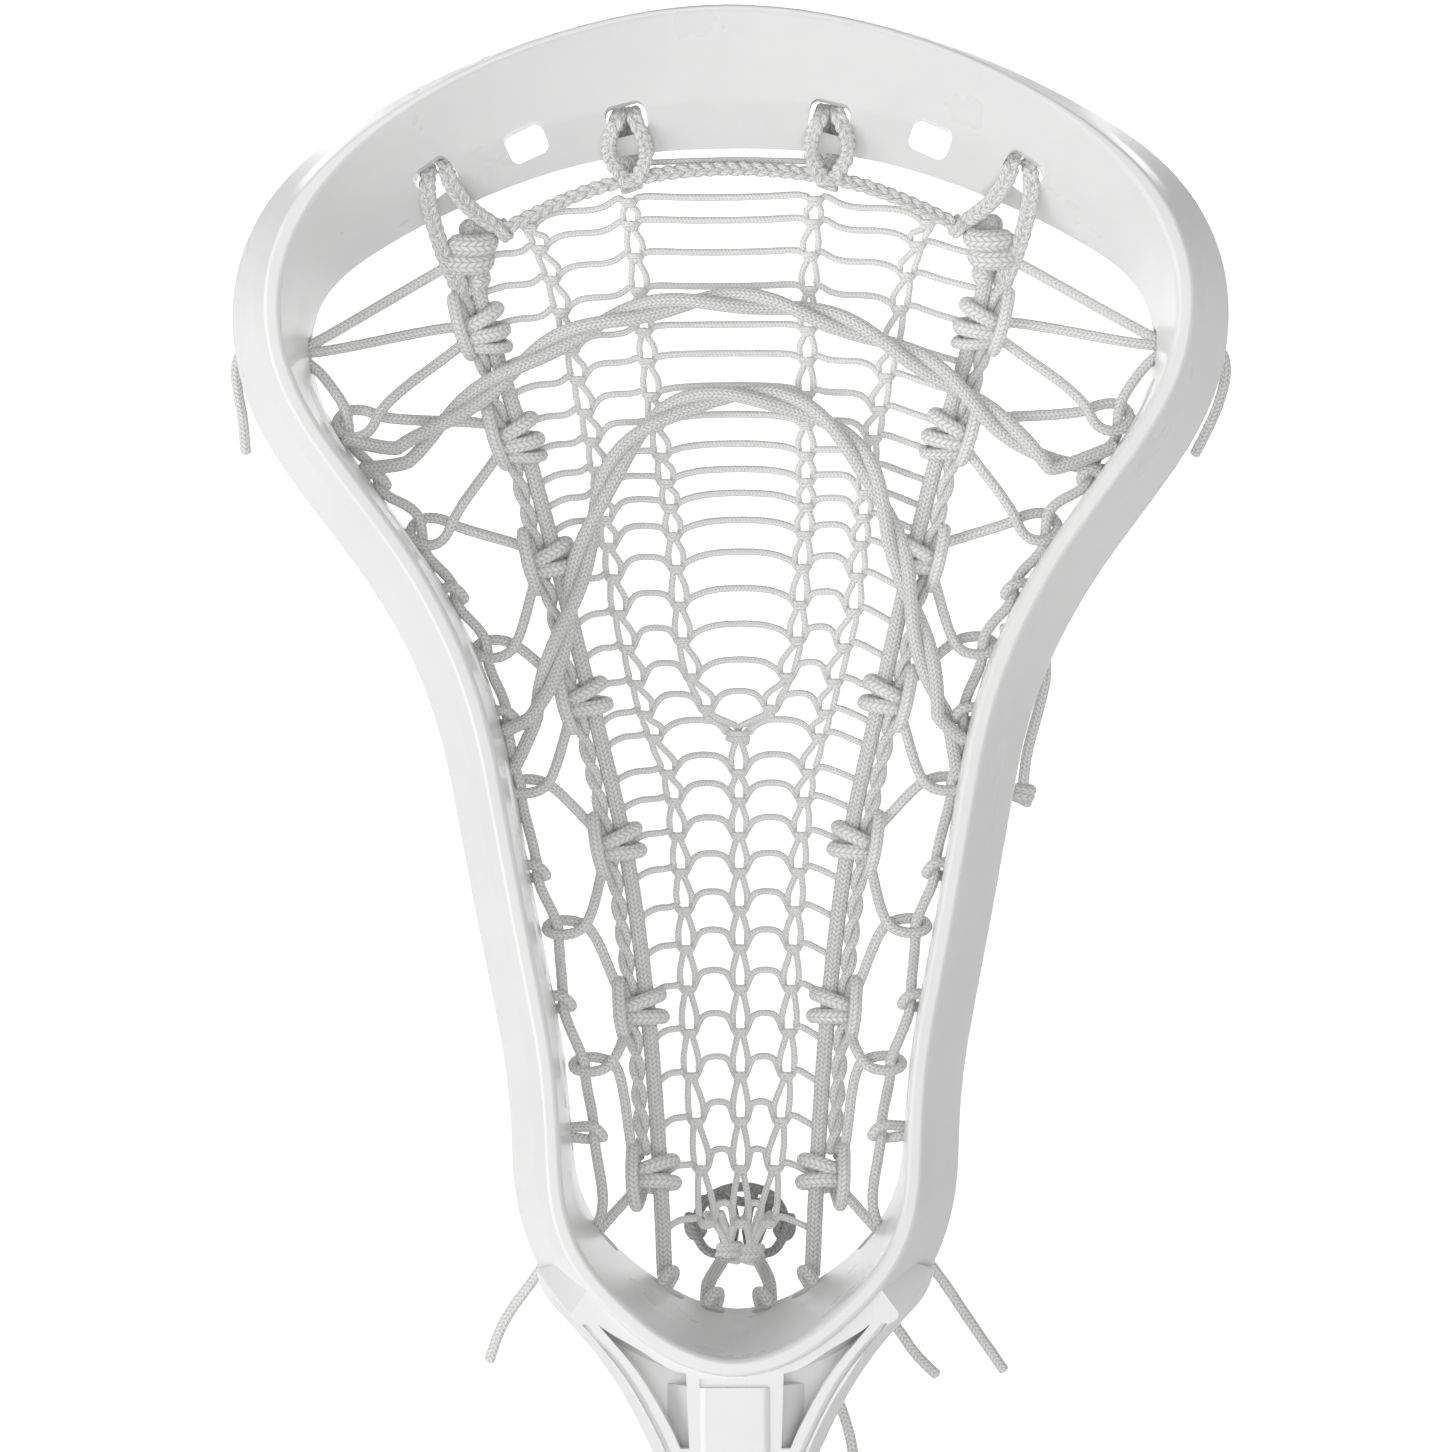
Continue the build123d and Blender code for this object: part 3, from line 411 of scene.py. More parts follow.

# each cord's second colour is painted shade for its braid's grooves
LACING = cord_material("lacing_string", (0.90, 0.90, 0.89), (0.57, 0.57, 0.56), 4, 1.05, 0.00026)
RUNNER_CORD = cord_material("runner_string", (0.86, 0.86, 0.85), (0.52, 0.52, 0.51), 6, 1.1, 0.00030)
SHOOTING = cord_material("shooting_lace", (0.87, 0.87, 0.86), (0.53, 0.53, 0.52), 6, 1.1, 0.00030)
MESH = cord_material("mesh_string", (0.92, 0.92, 0.91), (0.67, 0.67, 0.66), 3, 0.85, 0.00018)
# SHADED is painted shade: the gathered bunch behind the ball stop is darkened as a whole for the
# shade it lies in, and its second colour is also painted groove shade
SHADED = cord_material("gathered_string_painted_shade", (0.40, 0.40, 0.40), (0.22, 0.22, 0.22), 3, 1.4, 0.00030)

LACING_R = 1.25
RUNNER_R = 1.85
LACE_R = 1.62
MESH_R = 0.82


# ---------------------------------------------------------------- free ends of string
TAILS = {
    "tail_upper_left": [
        (-104.2, 17.0, 224.6), (-107.6, 18.4, 227.4), (-111.6, 19.6, 227.6),
        (-113.8, 20.0, 223.0), (-113.0, 19.8, 216.4), (-111.6, 19.2, 209.6),
        (-111.2, 18.6, 202.6),
    ],
    "tail_upper_right": [
        (104.2, 17.0, 224.6), (107.8, 18.6, 226.4), (111.6, 19.8, 225.0),
        (112.8, 20.2, 220.0), (111.2, 20.4, 213.4), (108.4, 20.2, 206.8),
        (105.0, 19.6, 200.6),
    ],
    "tail_side_right": [
        (60.6, 21.6, 161.8), (66.4, 19.6, 161.4), (70.6, 17.0, 157.8), (71.2, 15.6, 151.0),
        (69.4, 15.2, 143.6), (67.2, 15.6, 136.2), (65.8, 16.6, 129.2), (65.4, 17.6, 122.6),
    ],
    "tail_lower_left": [
        (-40.0, 17.8, 22.4), (-43.6, 19.4, 18.4), (-47.4, 21.0, 12.8), (-51.6, 21.8, 7.4),
        (-55.2, 21.6, 1.4), (-57.2, 21.0, -5.4),
    ],
    "tail_lower_right": [
        (40.0, 17.8, 22.4), (43.2, 19.6, 18.0), (47.2, 21.2, 12.4), (51.2, 22.0, 6.2),
        (55.8, 21.8, -0.6), (60.8, 21.0, -7.8),
    ],
    "tail_stop_right": [
        (22.4, 21.2, 9.6), (27.6, 23.4, 8.2), (33.0, 24.0, 5.4), (37.2, 23.8, 1.0),
        (40.4, 23.4, -4.4), (45.6, 22.8, -9.0),
    ],
    "tail_throat": [
        (15.8, 25.4, 4.2), (17.4, 26.6, -2.4), (20.4, 26.4, -9.4), (23.4, 25.0, -16.2),
        (25.6, 23.6, -23.6), (26.6, 22.6, -31.4), (26.2, 22.0, -39.2),
    ],
}
KNOTTED_TAIL = "tail_side_right"
END_KNOT_R = 3.0


def make_tail(node, points):
    """A loose end of lacing string, cut off square and sealed, or knotted."""
    line = line_of(points, 16)
    name = "loose_" + node[5:]
    strings = Strings().add(line, LACING_R, step=0.3, sides=16, relief=0.05)
    piece = strings.made(name, LACING, "lacing_cord", [node])
    extra = []
    if node == KNOTTED_TAIL:
        end = line[-1] + (0, 0, END_KNOT_R * 0.5)
        knot = Strings()
        knot.add(coil(end, (0.3, 0, 1), 1.9, 1.9, 3.4, 2.2), 1.15, step=0.3, relief=0.05)
        knot.add(coil(end, (1, 0.2, 0.5), 1.7, 1.7, 0.8, 1.0, 0.6), 1.1, step=0.3, relief=0.05)
        extra = [knot.made("loose_side_right_knot", LACING, "lacing_cord")]


for tail, route in TAILS.items():
    make_tail(tail, route)


# ---------------------------------------------------------------- runners and lacing
RUNNER = [                  # middle of the right-hand runner, from the scoop down
    (63.5, 8.5, 270.0), (60.0, 14.5, 251.0), (55.9, 19.5, 231.4), (48.1, 25.0, 206.6),
    (40.8, 29.2, 178.1), (33.4, 33.2, 146.0), (25.4, 36.0, 112.4), (20.6, 36.6, 74.2),
    (17.9, 32.4, 36.3), (16.9, 24.6, 13.4),
]
KNOTS = [231.4, 206.6, 178.1, 146.0, 112.4, 74.2, 36.3]     # heights of a runner's hitches
LOOPS = [                   # middles of the lacing's loops beside the string rail
    (85.5, 22.9, 209.7), (69.0, 26.2, 184.9), (54.4, 28.6, 157.9), (47.0, 30.0, 126.2),
    (38.6, 30.0, 93.6), (32.6, 28.5, 62.1),
]
LOOP_HALVES = (62, 126, 158, 185), (0.6, 0.6, 1.1, 2.2)     # heights, half heights of loops
RAIL_HOLES = [              # string holes of the right-hand rail
    (97.4, 20.1, 225.3), (84.0, 23.8, 196.7), (66.6, 26.3, 170.7), (54.9, 27.5, 142.4),
    (48.2, 27.1, 106.9), (42.4, 25.8, 76.9), (35.4, 24.4, 47.0), (33.1, 20.7, 22.7),
]
RUNNER_TOP, RUNNER_FOOT = 251.0, 13.4   # heights of the runners' ends
CHAIN_TOP, CHAIN_FOOT = 244.0, 41.0     # heights between which a chain runs beside them
BARREL = 247.5                          # height of the barrel knots
HIGH_KNOTS = 200.0                      # knots above this height have a third wrap
EDGE = line_of(RUNNER, 24)[::-1]


def edge_at(height):
    """Half width and y of the pocket's edge at a height above the stop."""
    return np.interp(height, EDGE[:, 2], EDGE[:, 0]), np.interp(height, EDGE[:, 2], EDGE[:, 1])


def runner_at(height):
    """The right-hand runner's centre at a height."""
    x, y = edge_at(height)
    return np.array((x, y, height))


def runner_way(height):
    """The right-hand runner's direction at a height, downwards."""
    step = runner_at(height - 2) - runner_at(height + 2)
    return step / np.linalg.norm(step)


def runner_line(high, low):
    """The right-hand runner from one height down to another."""
    heights = np.linspace(high, low, 160)
    return np.array([runner_at(h) for h in heights])


def loop_half(height):
    """Half height of a lacing loop's ring: the loops get flatter down the head."""
    return np.interp(height, *LOOP_HALVES)


def turned(line, side):
    """A right-hand line, or its mirror image on the left."""
    return np.asarray(line) * (side, 1, 1)


def knot_strings(height, strings, side):
    """Hitch on a runner: two or three wraps round it and a bight down its outer side."""
    centre, way = runner_at(height) + (1.0, -0.2, 0), runner_way(height)
    wraps = [(-2.2, 0.3, -0.24, 1.75), (1.5, 0.9, 0.14, 1.75)]
    if height > HIGH_KNOTS:
        wraps.append((4.6, 1.3, 0.34, 1.3))
    for rise, spin, tilt, radius in wraps:
        wrap = coil(centre + way * rise, way + (tilt, 0, 0), 4.3, 3.6, 1.5, 1.2, spin)
        strings.add(turned(wrap, side), radius, sides=14, relief=0.05, plaits=4, pick=1.0)
    bight = [
        centre - way * 3.4 + (3.6, 3.0, 0),
        centre - way * 6.6 + (4.6, 0.8, 0),
        centre - way * 7.0 + (5.0, -3.4, 0),
        centre - way * 1.5 + (5.3, -5.6, 0),
        centre + way * 2.0 + (5.4, -5.6, 0),
        centre + way * 7.0 + (4.9, -3.2, 0),
        centre + way * 6.4 + (4.4, 1.0, 0),
        centre + way * 3.4 + (3.4, 3.0, 0),
    ]
    strings.add(turned(line_of(bight), side), 1.5, sides=14, relief=0.05, plaits=4, pick=1.0)


def lacing_route():
    """From the barrel knot to the top rail hole, then knot by knot and loop by loop."""
    hole = np.array(RAIL_HOLES[0])
    start = runner_at(BARREL) + (4.0, -1.0, -2.0)
    points = [start, start + (1.5, 0.2, -0.6), hole + (-3.4, -0.6, 3.4), hole + (1.2, 0.0, 1.4)]
    points += [hole + (-1.6, -0.4, 0.2), runner_at(KNOTS[0]) + (8.0, -1.6, 0.4)]
    points.append(runner_at(KNOTS[0]) + (3.6, -1.4, -0.6))
    for loop, above, below in zip(LOOPS, KNOTS, KNOTS[1:]):
        centre = np.array(loop)
        half = loop_half(loop[2])
        points += [
            runner_at(above) + (4.8, -1.4, -3.6),
            centre + (-5.4, -1.2, half + 2.6),
            centre + (-2.6, -1.7, -half - 0.4),
            centre + (3.2, -1.5, -half - 1.1),
            centre + (5.9, 0.2, 0.0),
            centre + (3.4, 1.6, half + 1.3),
            centre + (-1.8, 0.9, half + 1.1),
            centre + (-5.8, 0.4, half - 1.2),
            runner_at(below) + (6.4, -0.6, 3.4),
            runner_at(below) + (3.4, -1.6, 0.8),
        ]
    last = runner_at(KNOTS[-1])
    foot = np.array(RAIL_HOLES[-1])
    points += [last + (5.2, -1.2, -2.6), foot + (-4.2, 0.2, 5.4), foot + (-1.0, 0.0, 1.6)]
    return points + [foot + (2.6, 0.2, -0.6)]


def rail_route():
    """Down the string rail: through each loop of the lacing and past each hole's hitch."""
    top = np.array(RAIL_HOLES[0])
    points = [top + (3.0, 0.2, -0.8), top + (-0.6, 0.0, -0.6)]
    for loop, hole in zip(LOOPS, RAIL_HOLES[1:]):
        centre = np.array(loop)
        half = loop_half(loop[2])
        points += [
            centre + (3.6, -1.5, half + 3.0),
            centre + (2.4, -1.0, 0.4),
            centre + (2.6, 1.4, -half - 2.6),
            np.array(hole) + (-2.5, 0.3, 2.6),
            np.array(hole) + (-2.5, 0.1, -2.6),
        ]
    foot = np.array(RAIL_HOLES[-1])
    points += [foot + (-2.8, 0.4, 9.0), foot + (-1.0, -0.4, 2.6), foot + (2.0, 0.0, -1.2)]
    points += [foot + (4.6, 0.0, -3.0), foot + (7.2, -1.4, -2.2)]
    return points + [TAILS["tail_lower_right"][0]]


def hitch_route(hole):
    """Bight through a hole of the string rail, round the string that runs past it."""
    return np.array(hole) + [
        (-2.2, 2.2, -0.4), (-4.4, 1.3, -1.5), (-4.7, -1.2, -0.6), (-2.6, -2.3, 1.6),
        (0.6, -0.4, 1.4), (4.4, 0.1, 0.9), (5.0, 0.2, -0.6), (1.4, 0.4, -1.4), (-2.0, 2.4, -1.8),
    ]


def make_side(name, side):
    """One runner with its hitches, its chain and the lacing to the string rail."""
    line = turned(runner_line(RUNNER_TOP, RUNNER_FOOT), side)
    cord = Strings().add(line, RUNNER_R, step=0.3, sides=18, relief=0.06, plaits=6, pick=1.1)
    cord.made("runner_" + name + "_cord", RUNNER_CORD, "lacing_cord", ["runner_" + name])
    lacing = Strings().add(turned(line_of(lacing_route()), side), LACING_R, relief=0.05)
    for height in KNOTS:
        knot_strings(height, lacing, side)
    for strand in chain(runner_line(CHAIN_TOP, CHAIN_FOOT) + (3.7, -0.8, 0), 0.95, 0.8, 6.2):
        lacing.add(turned(strand, side), 0.98, sides=10, relief=0.05)
    lacing.made("runner_" + name + "_hitches", LACING, "lacing_cord", ["runner_lacing_" + name])
    rail = Strings().add(turned(line_of(rail_route()), side), LACING_R, relief=0.05)
    for hole in RAIL_HOLES[1:-1]:
        rail.add(turned(line_of(hitch_route(hole)), side), LACING_R, relief=0.05)
    rail.made("rail_" + name + "_string", LACING, "lacing_cord", ["rail_lacing_" + name])
    wraps = Strings()
    wrap = coil(runner_at(BARREL), runner_way(BARREL) + (0.42, 0, 0), 3.3, 3.0, 11.2, 2.6, 0.5)
    wraps.add(turned(wrap, side), 2.5, sides=20, relief=0.05, plaits=6, pick=1.2)
    wraps.made("barrel_" + name, RUNNER_CORD, "lacing_cord", ["barrel_knot_" + name])


for name, side in SIDES.items():
    make_side(name, side)


# ---------------------------------------------------------------- knotted mesh
INNER = {  # x of the two inner columns, as (height, x)
    "left": [
        (258, -23.1), (246, -21.6), (216, -18.7), (189, -14.5), (160, -12.3), (152, -10.3),
        (146, -6.9),
    ],
    "right": [
        (258, 19.3), (246, 18.0), (216, 16.8), (189, 16.6), (160, 14.3), (152, 11.9), (146, 8.1),
    ],
}
OUTER = {  # x of the two outer columns, as (height, x)
    "left": [
        (258, -47.5), (246, -41.8), (230, -37.6), (203, -31.8), (166, -26.8), (145, -21.7),
        (127, -14.9), (98, -12.4), (60, -11.0), (27, -7.4),
    ],
    "right": [
        (258, 46.5), (246, 40.8), (230, 37.3), (203, 31.4), (166, 27.3), (145, 21.3),
        (127, 16.0), (98, 13.3), (60, 11.2), (27, 6.8),
    ],
}
UPPER_ROWS = [              # heights of the rows that have two inner knots
    260, 255, 248, 240.5, 231.6, 225, 217.6, 211, 204.3, 198.5, 193, 186.7, 179.2, 170.8,
    162.6, 154.3, 147,
]
LOWER_ROWS = [              # heights of the rows that have one, at the middle
    140.8, 132.6, 126.0, 118.0, 109.6, 100.7, 91.8, 82.4, 72.4, 62.4, 52.0, 41.2, 29,
]
LOWER_DROP = 2.9            # from a lower row's own height down to its knots
# the same for an upper row's inner knots, and from those down to its outer knots
INNER_DROP = (147, 190, 230, 260), (2.4, 2.0, 0.6, 0.2)
OUTER_DROP = (147, 180, 205, 240, 260), (1.2, 2.2, 3.2, 4.6, 5.4)
# from the outer knots down to the row's ends, and how high it arches between its knots
END_FALL = (29, 134, 180, 240, 260), (2.0, 2.6, 3.6, 4.2, 3.0)
ROW_ARCH = (29, 134, 180, 215, 240, 260), (3.8, 3.6, 3.2, 1.8, 0.4, 0.2)
END_ARCH = 0.35             # arch beyond the outer knots, as a share of the others
POCKET_TOP, POCKET_HEIGHT = 270.0, 256.6    # where the mesh bulges back between the runners
POCKET_RIM, POCKET_DEPTH = 0.8, 6.2         # the bulge at its ends, and what half height adds
MESH_BACK = 1.1                             # from the runners back to the mesh's edge


def column(table, height):
    """x of a column of knots at a height."""
    rows = np.array(table, float)[::-1]
    return float(np.interp(height, rows[:, 0], rows[:, 1]))


def pocket_y(x, height):
    """y of the mesh at a place in the pocket."""
    half, y = edge_at(height)
    down = np.clip((POCKET_TOP - height) / POCKET_HEIGHT, 0, 1)
    deeper = POCKET_RIM + POCKET_DEPTH * np.sin(math.pi * down)
    return float(y + MESH_BACK + deeper * np.clip(1 - (x / half) ** 2, 0, 1))


def on_pocket(x, height, front=0.0):
    """A place on the mesh, or a distance in front of it."""
    return np.array((x, pocket_y(x, height) - front, height))


def row_nodes(height, upper):
    """(x, height) of the knots along one row."""
    if upper:
        drop = np.interp(height, *OUTER_DROP)
        low = height - np.interp(height, *INNER_DROP)
        left, right = column(INNER["left"], low), column(INNER["right"], low)
        far = low - drop
        ends = [(column(OUTER[s], far), far) for s in SIDES]
        return [ends[0], (left, low), (right, low), ends[1]]
    low = height - LOWER_DROP
    return [(column(OUTER["left"], low), low), (0.4, low), (column(OUTER["right"], low), low)]


def row_line(nodes, height, upper):
    """One row of the mesh, from runner to runner: an arch between knots, a dip at each."""
    def end(node, side):
        """Where the row meets a runner, below its outer knot."""
        low = node[1] - np.interp(height, *END_FALL)
        half, _ = edge_at(low)
        return on_pocket(side * (half - 0.6), low, 0.3)

    points = [end(nodes[0], -1)]
    arch = np.interp(height, *ROW_ARCH)
    for i, (x, low) in enumerate(nodes):
        before = points[-1] if i == 0 else np.array((nodes[i - 1][0], 0, nodes[i - 1][1]))
        middle = (before[0] + x) / 2
        high = (before[2] + low) / 2 + (arch if i else END_ARCH * arch)
        spread = abs(x - before[0]) * 0.22
        points.append(on_pocket(middle - spread, high, 0.0))
        points.append(on_pocket(middle + spread, high, 0.0))
        points += [
            on_pocket(x - 1.9, low + 0.9, -0.3),
            on_pocket(x - 1.1, low - 1.3, 0.5),
            on_pocket(x + 1.1, low - 1.3, 0.5),
            on_pocket(x + 1.9, low + 0.9, -0.3),
        ]
    last = end(nodes[-1], 1)
    x, low = nodes[-1]
    points.append(on_pocket((x + last[0]) / 2, (low + last[2]) / 2 + END_ARCH * arch, 0.0))
    points.append(last)
    return line_of(points, 5)


def link(strings, top, foot, lean):
    """The two legs between a knot and the one under it."""
    (x0, h0), (x1, h1) = top, foot
    for way in (-1, 1):
        middle = (x0 + x1) / 2 + way * 1.5 + lean * 0.25
        points = [
            on_pocket(x0 + way * 0.5, h0 - 0.6, -0.5),
            on_pocket(x0 + way * 0.7, h0 - 1.8, 0.3),
            on_pocket(middle, (h0 + h1) / 2, 0.3),
            on_pocket(x1 + way * 1.9, h1 + 1.9, 0.2),
            on_pocket(x1 + way * 1.5, h1 + 0.3, -0.6),
        ]
        strings.add(line_of(points, 4), MESH_R * 0.94, step=0.5, sides=8)


def node_wrap(strings, node):
    """The turn of string that makes a knot of the mesh."""
    x, low = node
    turn = coil(on_pocket(x, low - 0.5, 0.2), (0.12, 0, 1), 1.35, 1.25, 0.7, 1.05, 0.7)
    strings.add(turn, MESH_R * 0.9, step=0.4, sides=8)


def make_net():
    """The mesh as rows of string knotted into columns. The two inner columns of the upper
    rows meet in one knot above the lower rows."""
    upper, lower = Strings(), Strings()
    above = None
    for height in UPPER_ROWS:
        nodes = row_nodes(height, True)
        upper.add(row_line(nodes, height, True), MESH_R, step=0.45, sides=8)
        for node in nodes:
            node_wrap(upper, node)
        if above:
            for a, b in zip(above, nodes):
                link(upper, a, b, np.sign(b[0]) * -0.6)
        above = nodes
    for node, foot in ((above[1], (-1.0, 137.6)), (above[2], (1.6, 137.6))):
        link(upper, node, foot, 0)
    meeting = coil(on_pocket(0.3, 137.4, 0.3), (0.1, 0, 1), 2.2, 1.6, 2.2, 2.1)
    upper.add(meeting, MESH_R, step=0.4, sides=8)
    above = [above[0], None, above[3]]
    for height in LOWER_ROWS:
        nodes = row_nodes(height, False)
        lower.add(row_line(nodes, height, False), MESH_R, step=0.45, sides=8)
        for node in nodes:
            node_wrap(lower, node)
        for a, b in zip(above, nodes):
            if a:
                link(lower, a, b, 0)
        above = nodes
    upper.made("net_upper", MESH, "mesh_cord", ["pocket_mesh"])
    lower.made("net_lower", MESH, "mesh_cord")


make_net()


# ---------------------------------------------------------------- foot of the pocket
GATHER_KNOTS = [(-2.6, 42.3, 17.6), (2.6, 42.3, 17.0)]
GATHER_STARTS = [           # on the mesh's last row, the first half for the left knot
    (-7.6, 35.0, 27.2), (-4.4, 36.2, 27.4), (-0.6, 36.6, 26.2),
    (1.2, 36.6, 26.4), (4.8, 36.2, 27.4), (7.4, 35.0, 27.2),
]
GATHER_ARCS = [             # bights of spare mesh, bunched behind the last row
    [
        (-11.0, 41.0, 22.0), (-10.0, 43.4, 28.5), (-3.0, 44.6, 32.6), (5.0, 44.6, 32.4),
        (10.4, 43.4, 28.0), (11.0, 41.0, 22.0),
    ],
    [(-11.4, 40.6, 25.4), (-9.8, 42.6, 19.4), (-6.0, 43.4, 16.4), (-1.6, 43.0, 17.4)],
    [(11.4, 40.6, 25.0), (9.6, 42.6, 19.2), (6.2, 43.4, 16.6), (1.8, 43.0, 17.2)],
    [(-7.0, 43.6, 31.0), (-5.4, 44.4, 25.0), (-3.4, 43.8, 19.6), (-2.4, 42.6, 16.6)],
    [(7.2, 43.6, 30.6), (5.8, 44.4, 24.6), (3.6, 43.8, 19.4), (2.4, 42.6, 16.4)],
    [(-3.0, 43.8, 32.4), (-1.0, 44.6, 26.0), (-1.6, 44.0, 20.0), (-2.6, 42.8, 16.8)],
    [(3.6, 43.8, 32.2), (1.4, 44.6, 26.0), (1.6, 44.0, 20.0), (2.6, 42.8, 16.8)],
    [(-9.6, 43.0, 29.6), (-3.0, 44.0, 29.8), (3.0, 44.0, 28.6), (9.6, 43.0, 29.2)],
    [
        (-11.6, 41.2, 27.0), (-12.4, 42.4, 23.4), (-10.6, 43.0, 20.6), (-8.0, 42.2, 22.8),
        (-9.6, 41.0, 26.4),
    ],
    [
        (11.6, 41.2, 26.6), (12.4, 42.4, 23.0), (10.6, 43.0, 20.4), (8.0, 42.2, 22.6),
        (9.6, 41.0, 26.0),
    ],
]
BOTTOM_STRING = [           # from a knot of the gathered mesh to a hole of the ball stop
    (3.2, 42.6, 17.6), (4.9, 40.6, 14.6), (5.9, 36.8, 13.4), (6.8, 30.6, 12.2),
    (7.2, 25.4, 11.6), (7.3, 23.2, 7.4),
]
GATHER_R, GATHER_END_R, BOTTOM_R = 1.15, 1.05, 1.6


def make_foot():
    """The mesh's end drawn together behind its last row, and its two strings to the stop."""
    gather, ends = Strings(), Strings()
    for i, start in enumerate(GATHER_STARTS):
        goal = np.array(GATHER_KNOTS[0 if i < len(GATHER_STARTS) / 2 else 1])
        middle = (np.array(start) + goal) / 2 + (0.0, 2.4, 1.4)
        route = [start, middle, goal + (0, -1.4, 1.8), goal + (0, -1.0, -1.0)]
        ends.add(line_of(route), GATHER_END_R, sides=10, relief=0.05)
    for arc in GATHER_ARCS:
        gather.add(line_of(arc), GATHER_R, sides=10, relief=0.05)
    for knot in GATHER_KNOTS:
        turns = coil(knot, (0.1, 0.2, 1), 2.1, 1.8, 3.6, 2.1)
        ends.add(turns, GATHER_R, sides=10, relief=0.05)
    # the gathered bights get SHADED, their colour darkened as painted shade for where they lie
    # behind the ball stop
    gather.made("net_gather", SHADED, "mesh_cord", ["mesh_gather"])
    ends.made("net_gather_ends", MESH, "mesh_cord")
    for name, side in SIDES.items():
        line = turned(line_of(BOTTOM_STRING), side)
        foot = Strings().add(line, BOTTOM_R, sides=14, relief=0.07, plaits=4)
        foot.made("foot_" + name, RUNNER_CORD, "lacing_cord", ["bottom_string_" + name])


make_foot()


# ---------------------------------------------------------------- shooting strings
SHOOTER_UPPER = [
    (-81.0, 21.0, 198.0), (-67.5, 18.6, 208.6), (-52.8, 16.8, 219.5), (-37.0, 15.6, 229.4),
    (-19.6, 15.0, 235.2), (-1.2, 14.8, 237.4), (17.0, 15.0, 234.6), (35.2, 15.6, 227.2),
    (52.0, 16.8, 216.8), (65.4, 18.8, 204.0), (78.6, 21.0, 195.0),
]
SHOOTER_LOWER = [
    (-49.0, 26.6, 135.5), (-39.8, 24.6, 157.5), (-33.6, 24.2, 184.0), (-26.4, 22.8, 202.6),
    (-14.6, 21.8, 213.0), (0.4, 21.4, 216.4), (16.0, 21.8, 213.6), (28.8, 22.8, 203.8),
    (36.0, 24.2, 186.6), (42.0, 24.8, 162.0), (49.6, 26.6, 134.5),
]
LACE_OFFSET = 1.5           # from the pair's middle line to the middle of each lace
FLARE, FLARE_LENGTH = 0.6, 0.1      # the pair opens by this share, over this share of its length


def make_shooter(name, node, points, phase, pitch, ends):
    """Two soft laces twisted together, parting where they reach the string rail."""
    line = even(line_of(points, 16), 1.0)
    share = np.linspace(0, 1, len(line))
    opening = np.clip(1 - share / FLARE_LENGTH, 0, 1)
    closing = np.clip(1 - (1 - share) / FLARE_LENGTH, 0, 1)
    flare = 1 + FLARE * opening + FLARE * closing
    pair = Strings()
    for way in (0, 1):
        strand = twisted(line, LACE_OFFSET, pitch, phase + way * math.pi, flare=flare)
        route = [ends[0][way], *strand[6:-6:3], ends[1][way]]
        pair.add(line_of(route), LACE_R, step=0.35, sides=18, relief=0.05, plaits=6, pick=1.1)
    pair.made(name, SHOOTING, "shooting_cord", [node])


UPPER_ENDS = [
    ((-89.6, 21.6, 206.5), (-85.6, 23.0, 199.5)),
    ((84.6, 22.8, 197.5), (88.0, 21.8, 203.5)),
]
make_shooter("shooting_upper", "shooter_upper", SHOOTER_UPPER, 0.6, 44.0, UPPER_ENDS)
LOWER_ENDS = [
    ((-53.6, 26.2, 139.0), (-51.6, 26.8, 129.0)),
    ((53.2, 26.4, 136.0), (51.2, 26.8, 127.0)),
]
make_shooter("shooting_lower", "shooter_lower", SHOOTER_LOWER, 1.9, 46.0, LOWER_ENDS)


# ---------------------------------------------------------------- top of the pocket
TOP_STRING = [
    (-53.0, 14.6, 252.4), (-37.0, 9.8, 260.2), (-19.0, 8.2, 264.6), (0.0, 7.8, 266.2),
    (19.0, 8.2, 264.6), (37.0, 9.8, 260.2), (53.0, 14.6, 252.4),
]


SCOOP_OUTER = [             # tie from the scoop's outer hole to the end of the top string
    (64.2, 5.4, 269.0), (63.8, 1.0, 266.0), (62.4, 3.2, 262.0), (59.6, 8.4, 258.2),
    (56.2, 12.0, 255.6), (52.2, 14.2, 253.2),
]
SCOOP_DOWN = [              # tie from the same hole down past the barrel knot
    (67.4, 5.4, 266.6), (67.8, 1.6, 263.6), (68.0, 4.6, 259.4), (67.2, 10.4, 254.4),
    (65.4, 13.2, 248.0), (62.8, 15.6, 241.6), (60.4, 18.0, 236.6),
]


def scoop_inner(lean):
    """Tie over the scoop's edge at its inner hole, leaning outwards (1) or inwards (-1)."""
    return [
        (22.2 + lean * 0.4, 9.8, 262.8), (22.4 + lean * 2.0, 7.6, 264.4),
        (22.7 + lean * 4.4, 5.4, 268.2), (22.8 + lean * 4.0, 0.4, 272.0),
        (22.8 + lean * 2.4, -2.2, 275.0), (22.8 + lean * 1.4, 0.8, 277.6),
        (22.9 + lean * 1.4, 4.2, 278.8), (22.9 + lean * 1.6, 9.6, 276.2),
        (22.6 + lean * 1.6, 11.4, 270.0), (22.3 + lean * 0.6, 10.4, 264.0),
    ]


def tie_line(points, side):
    """A tie's middle line on one side, in short steps for a plait."""
    return even(line_of([turned(p, side) for p in points], 10), 0.4)


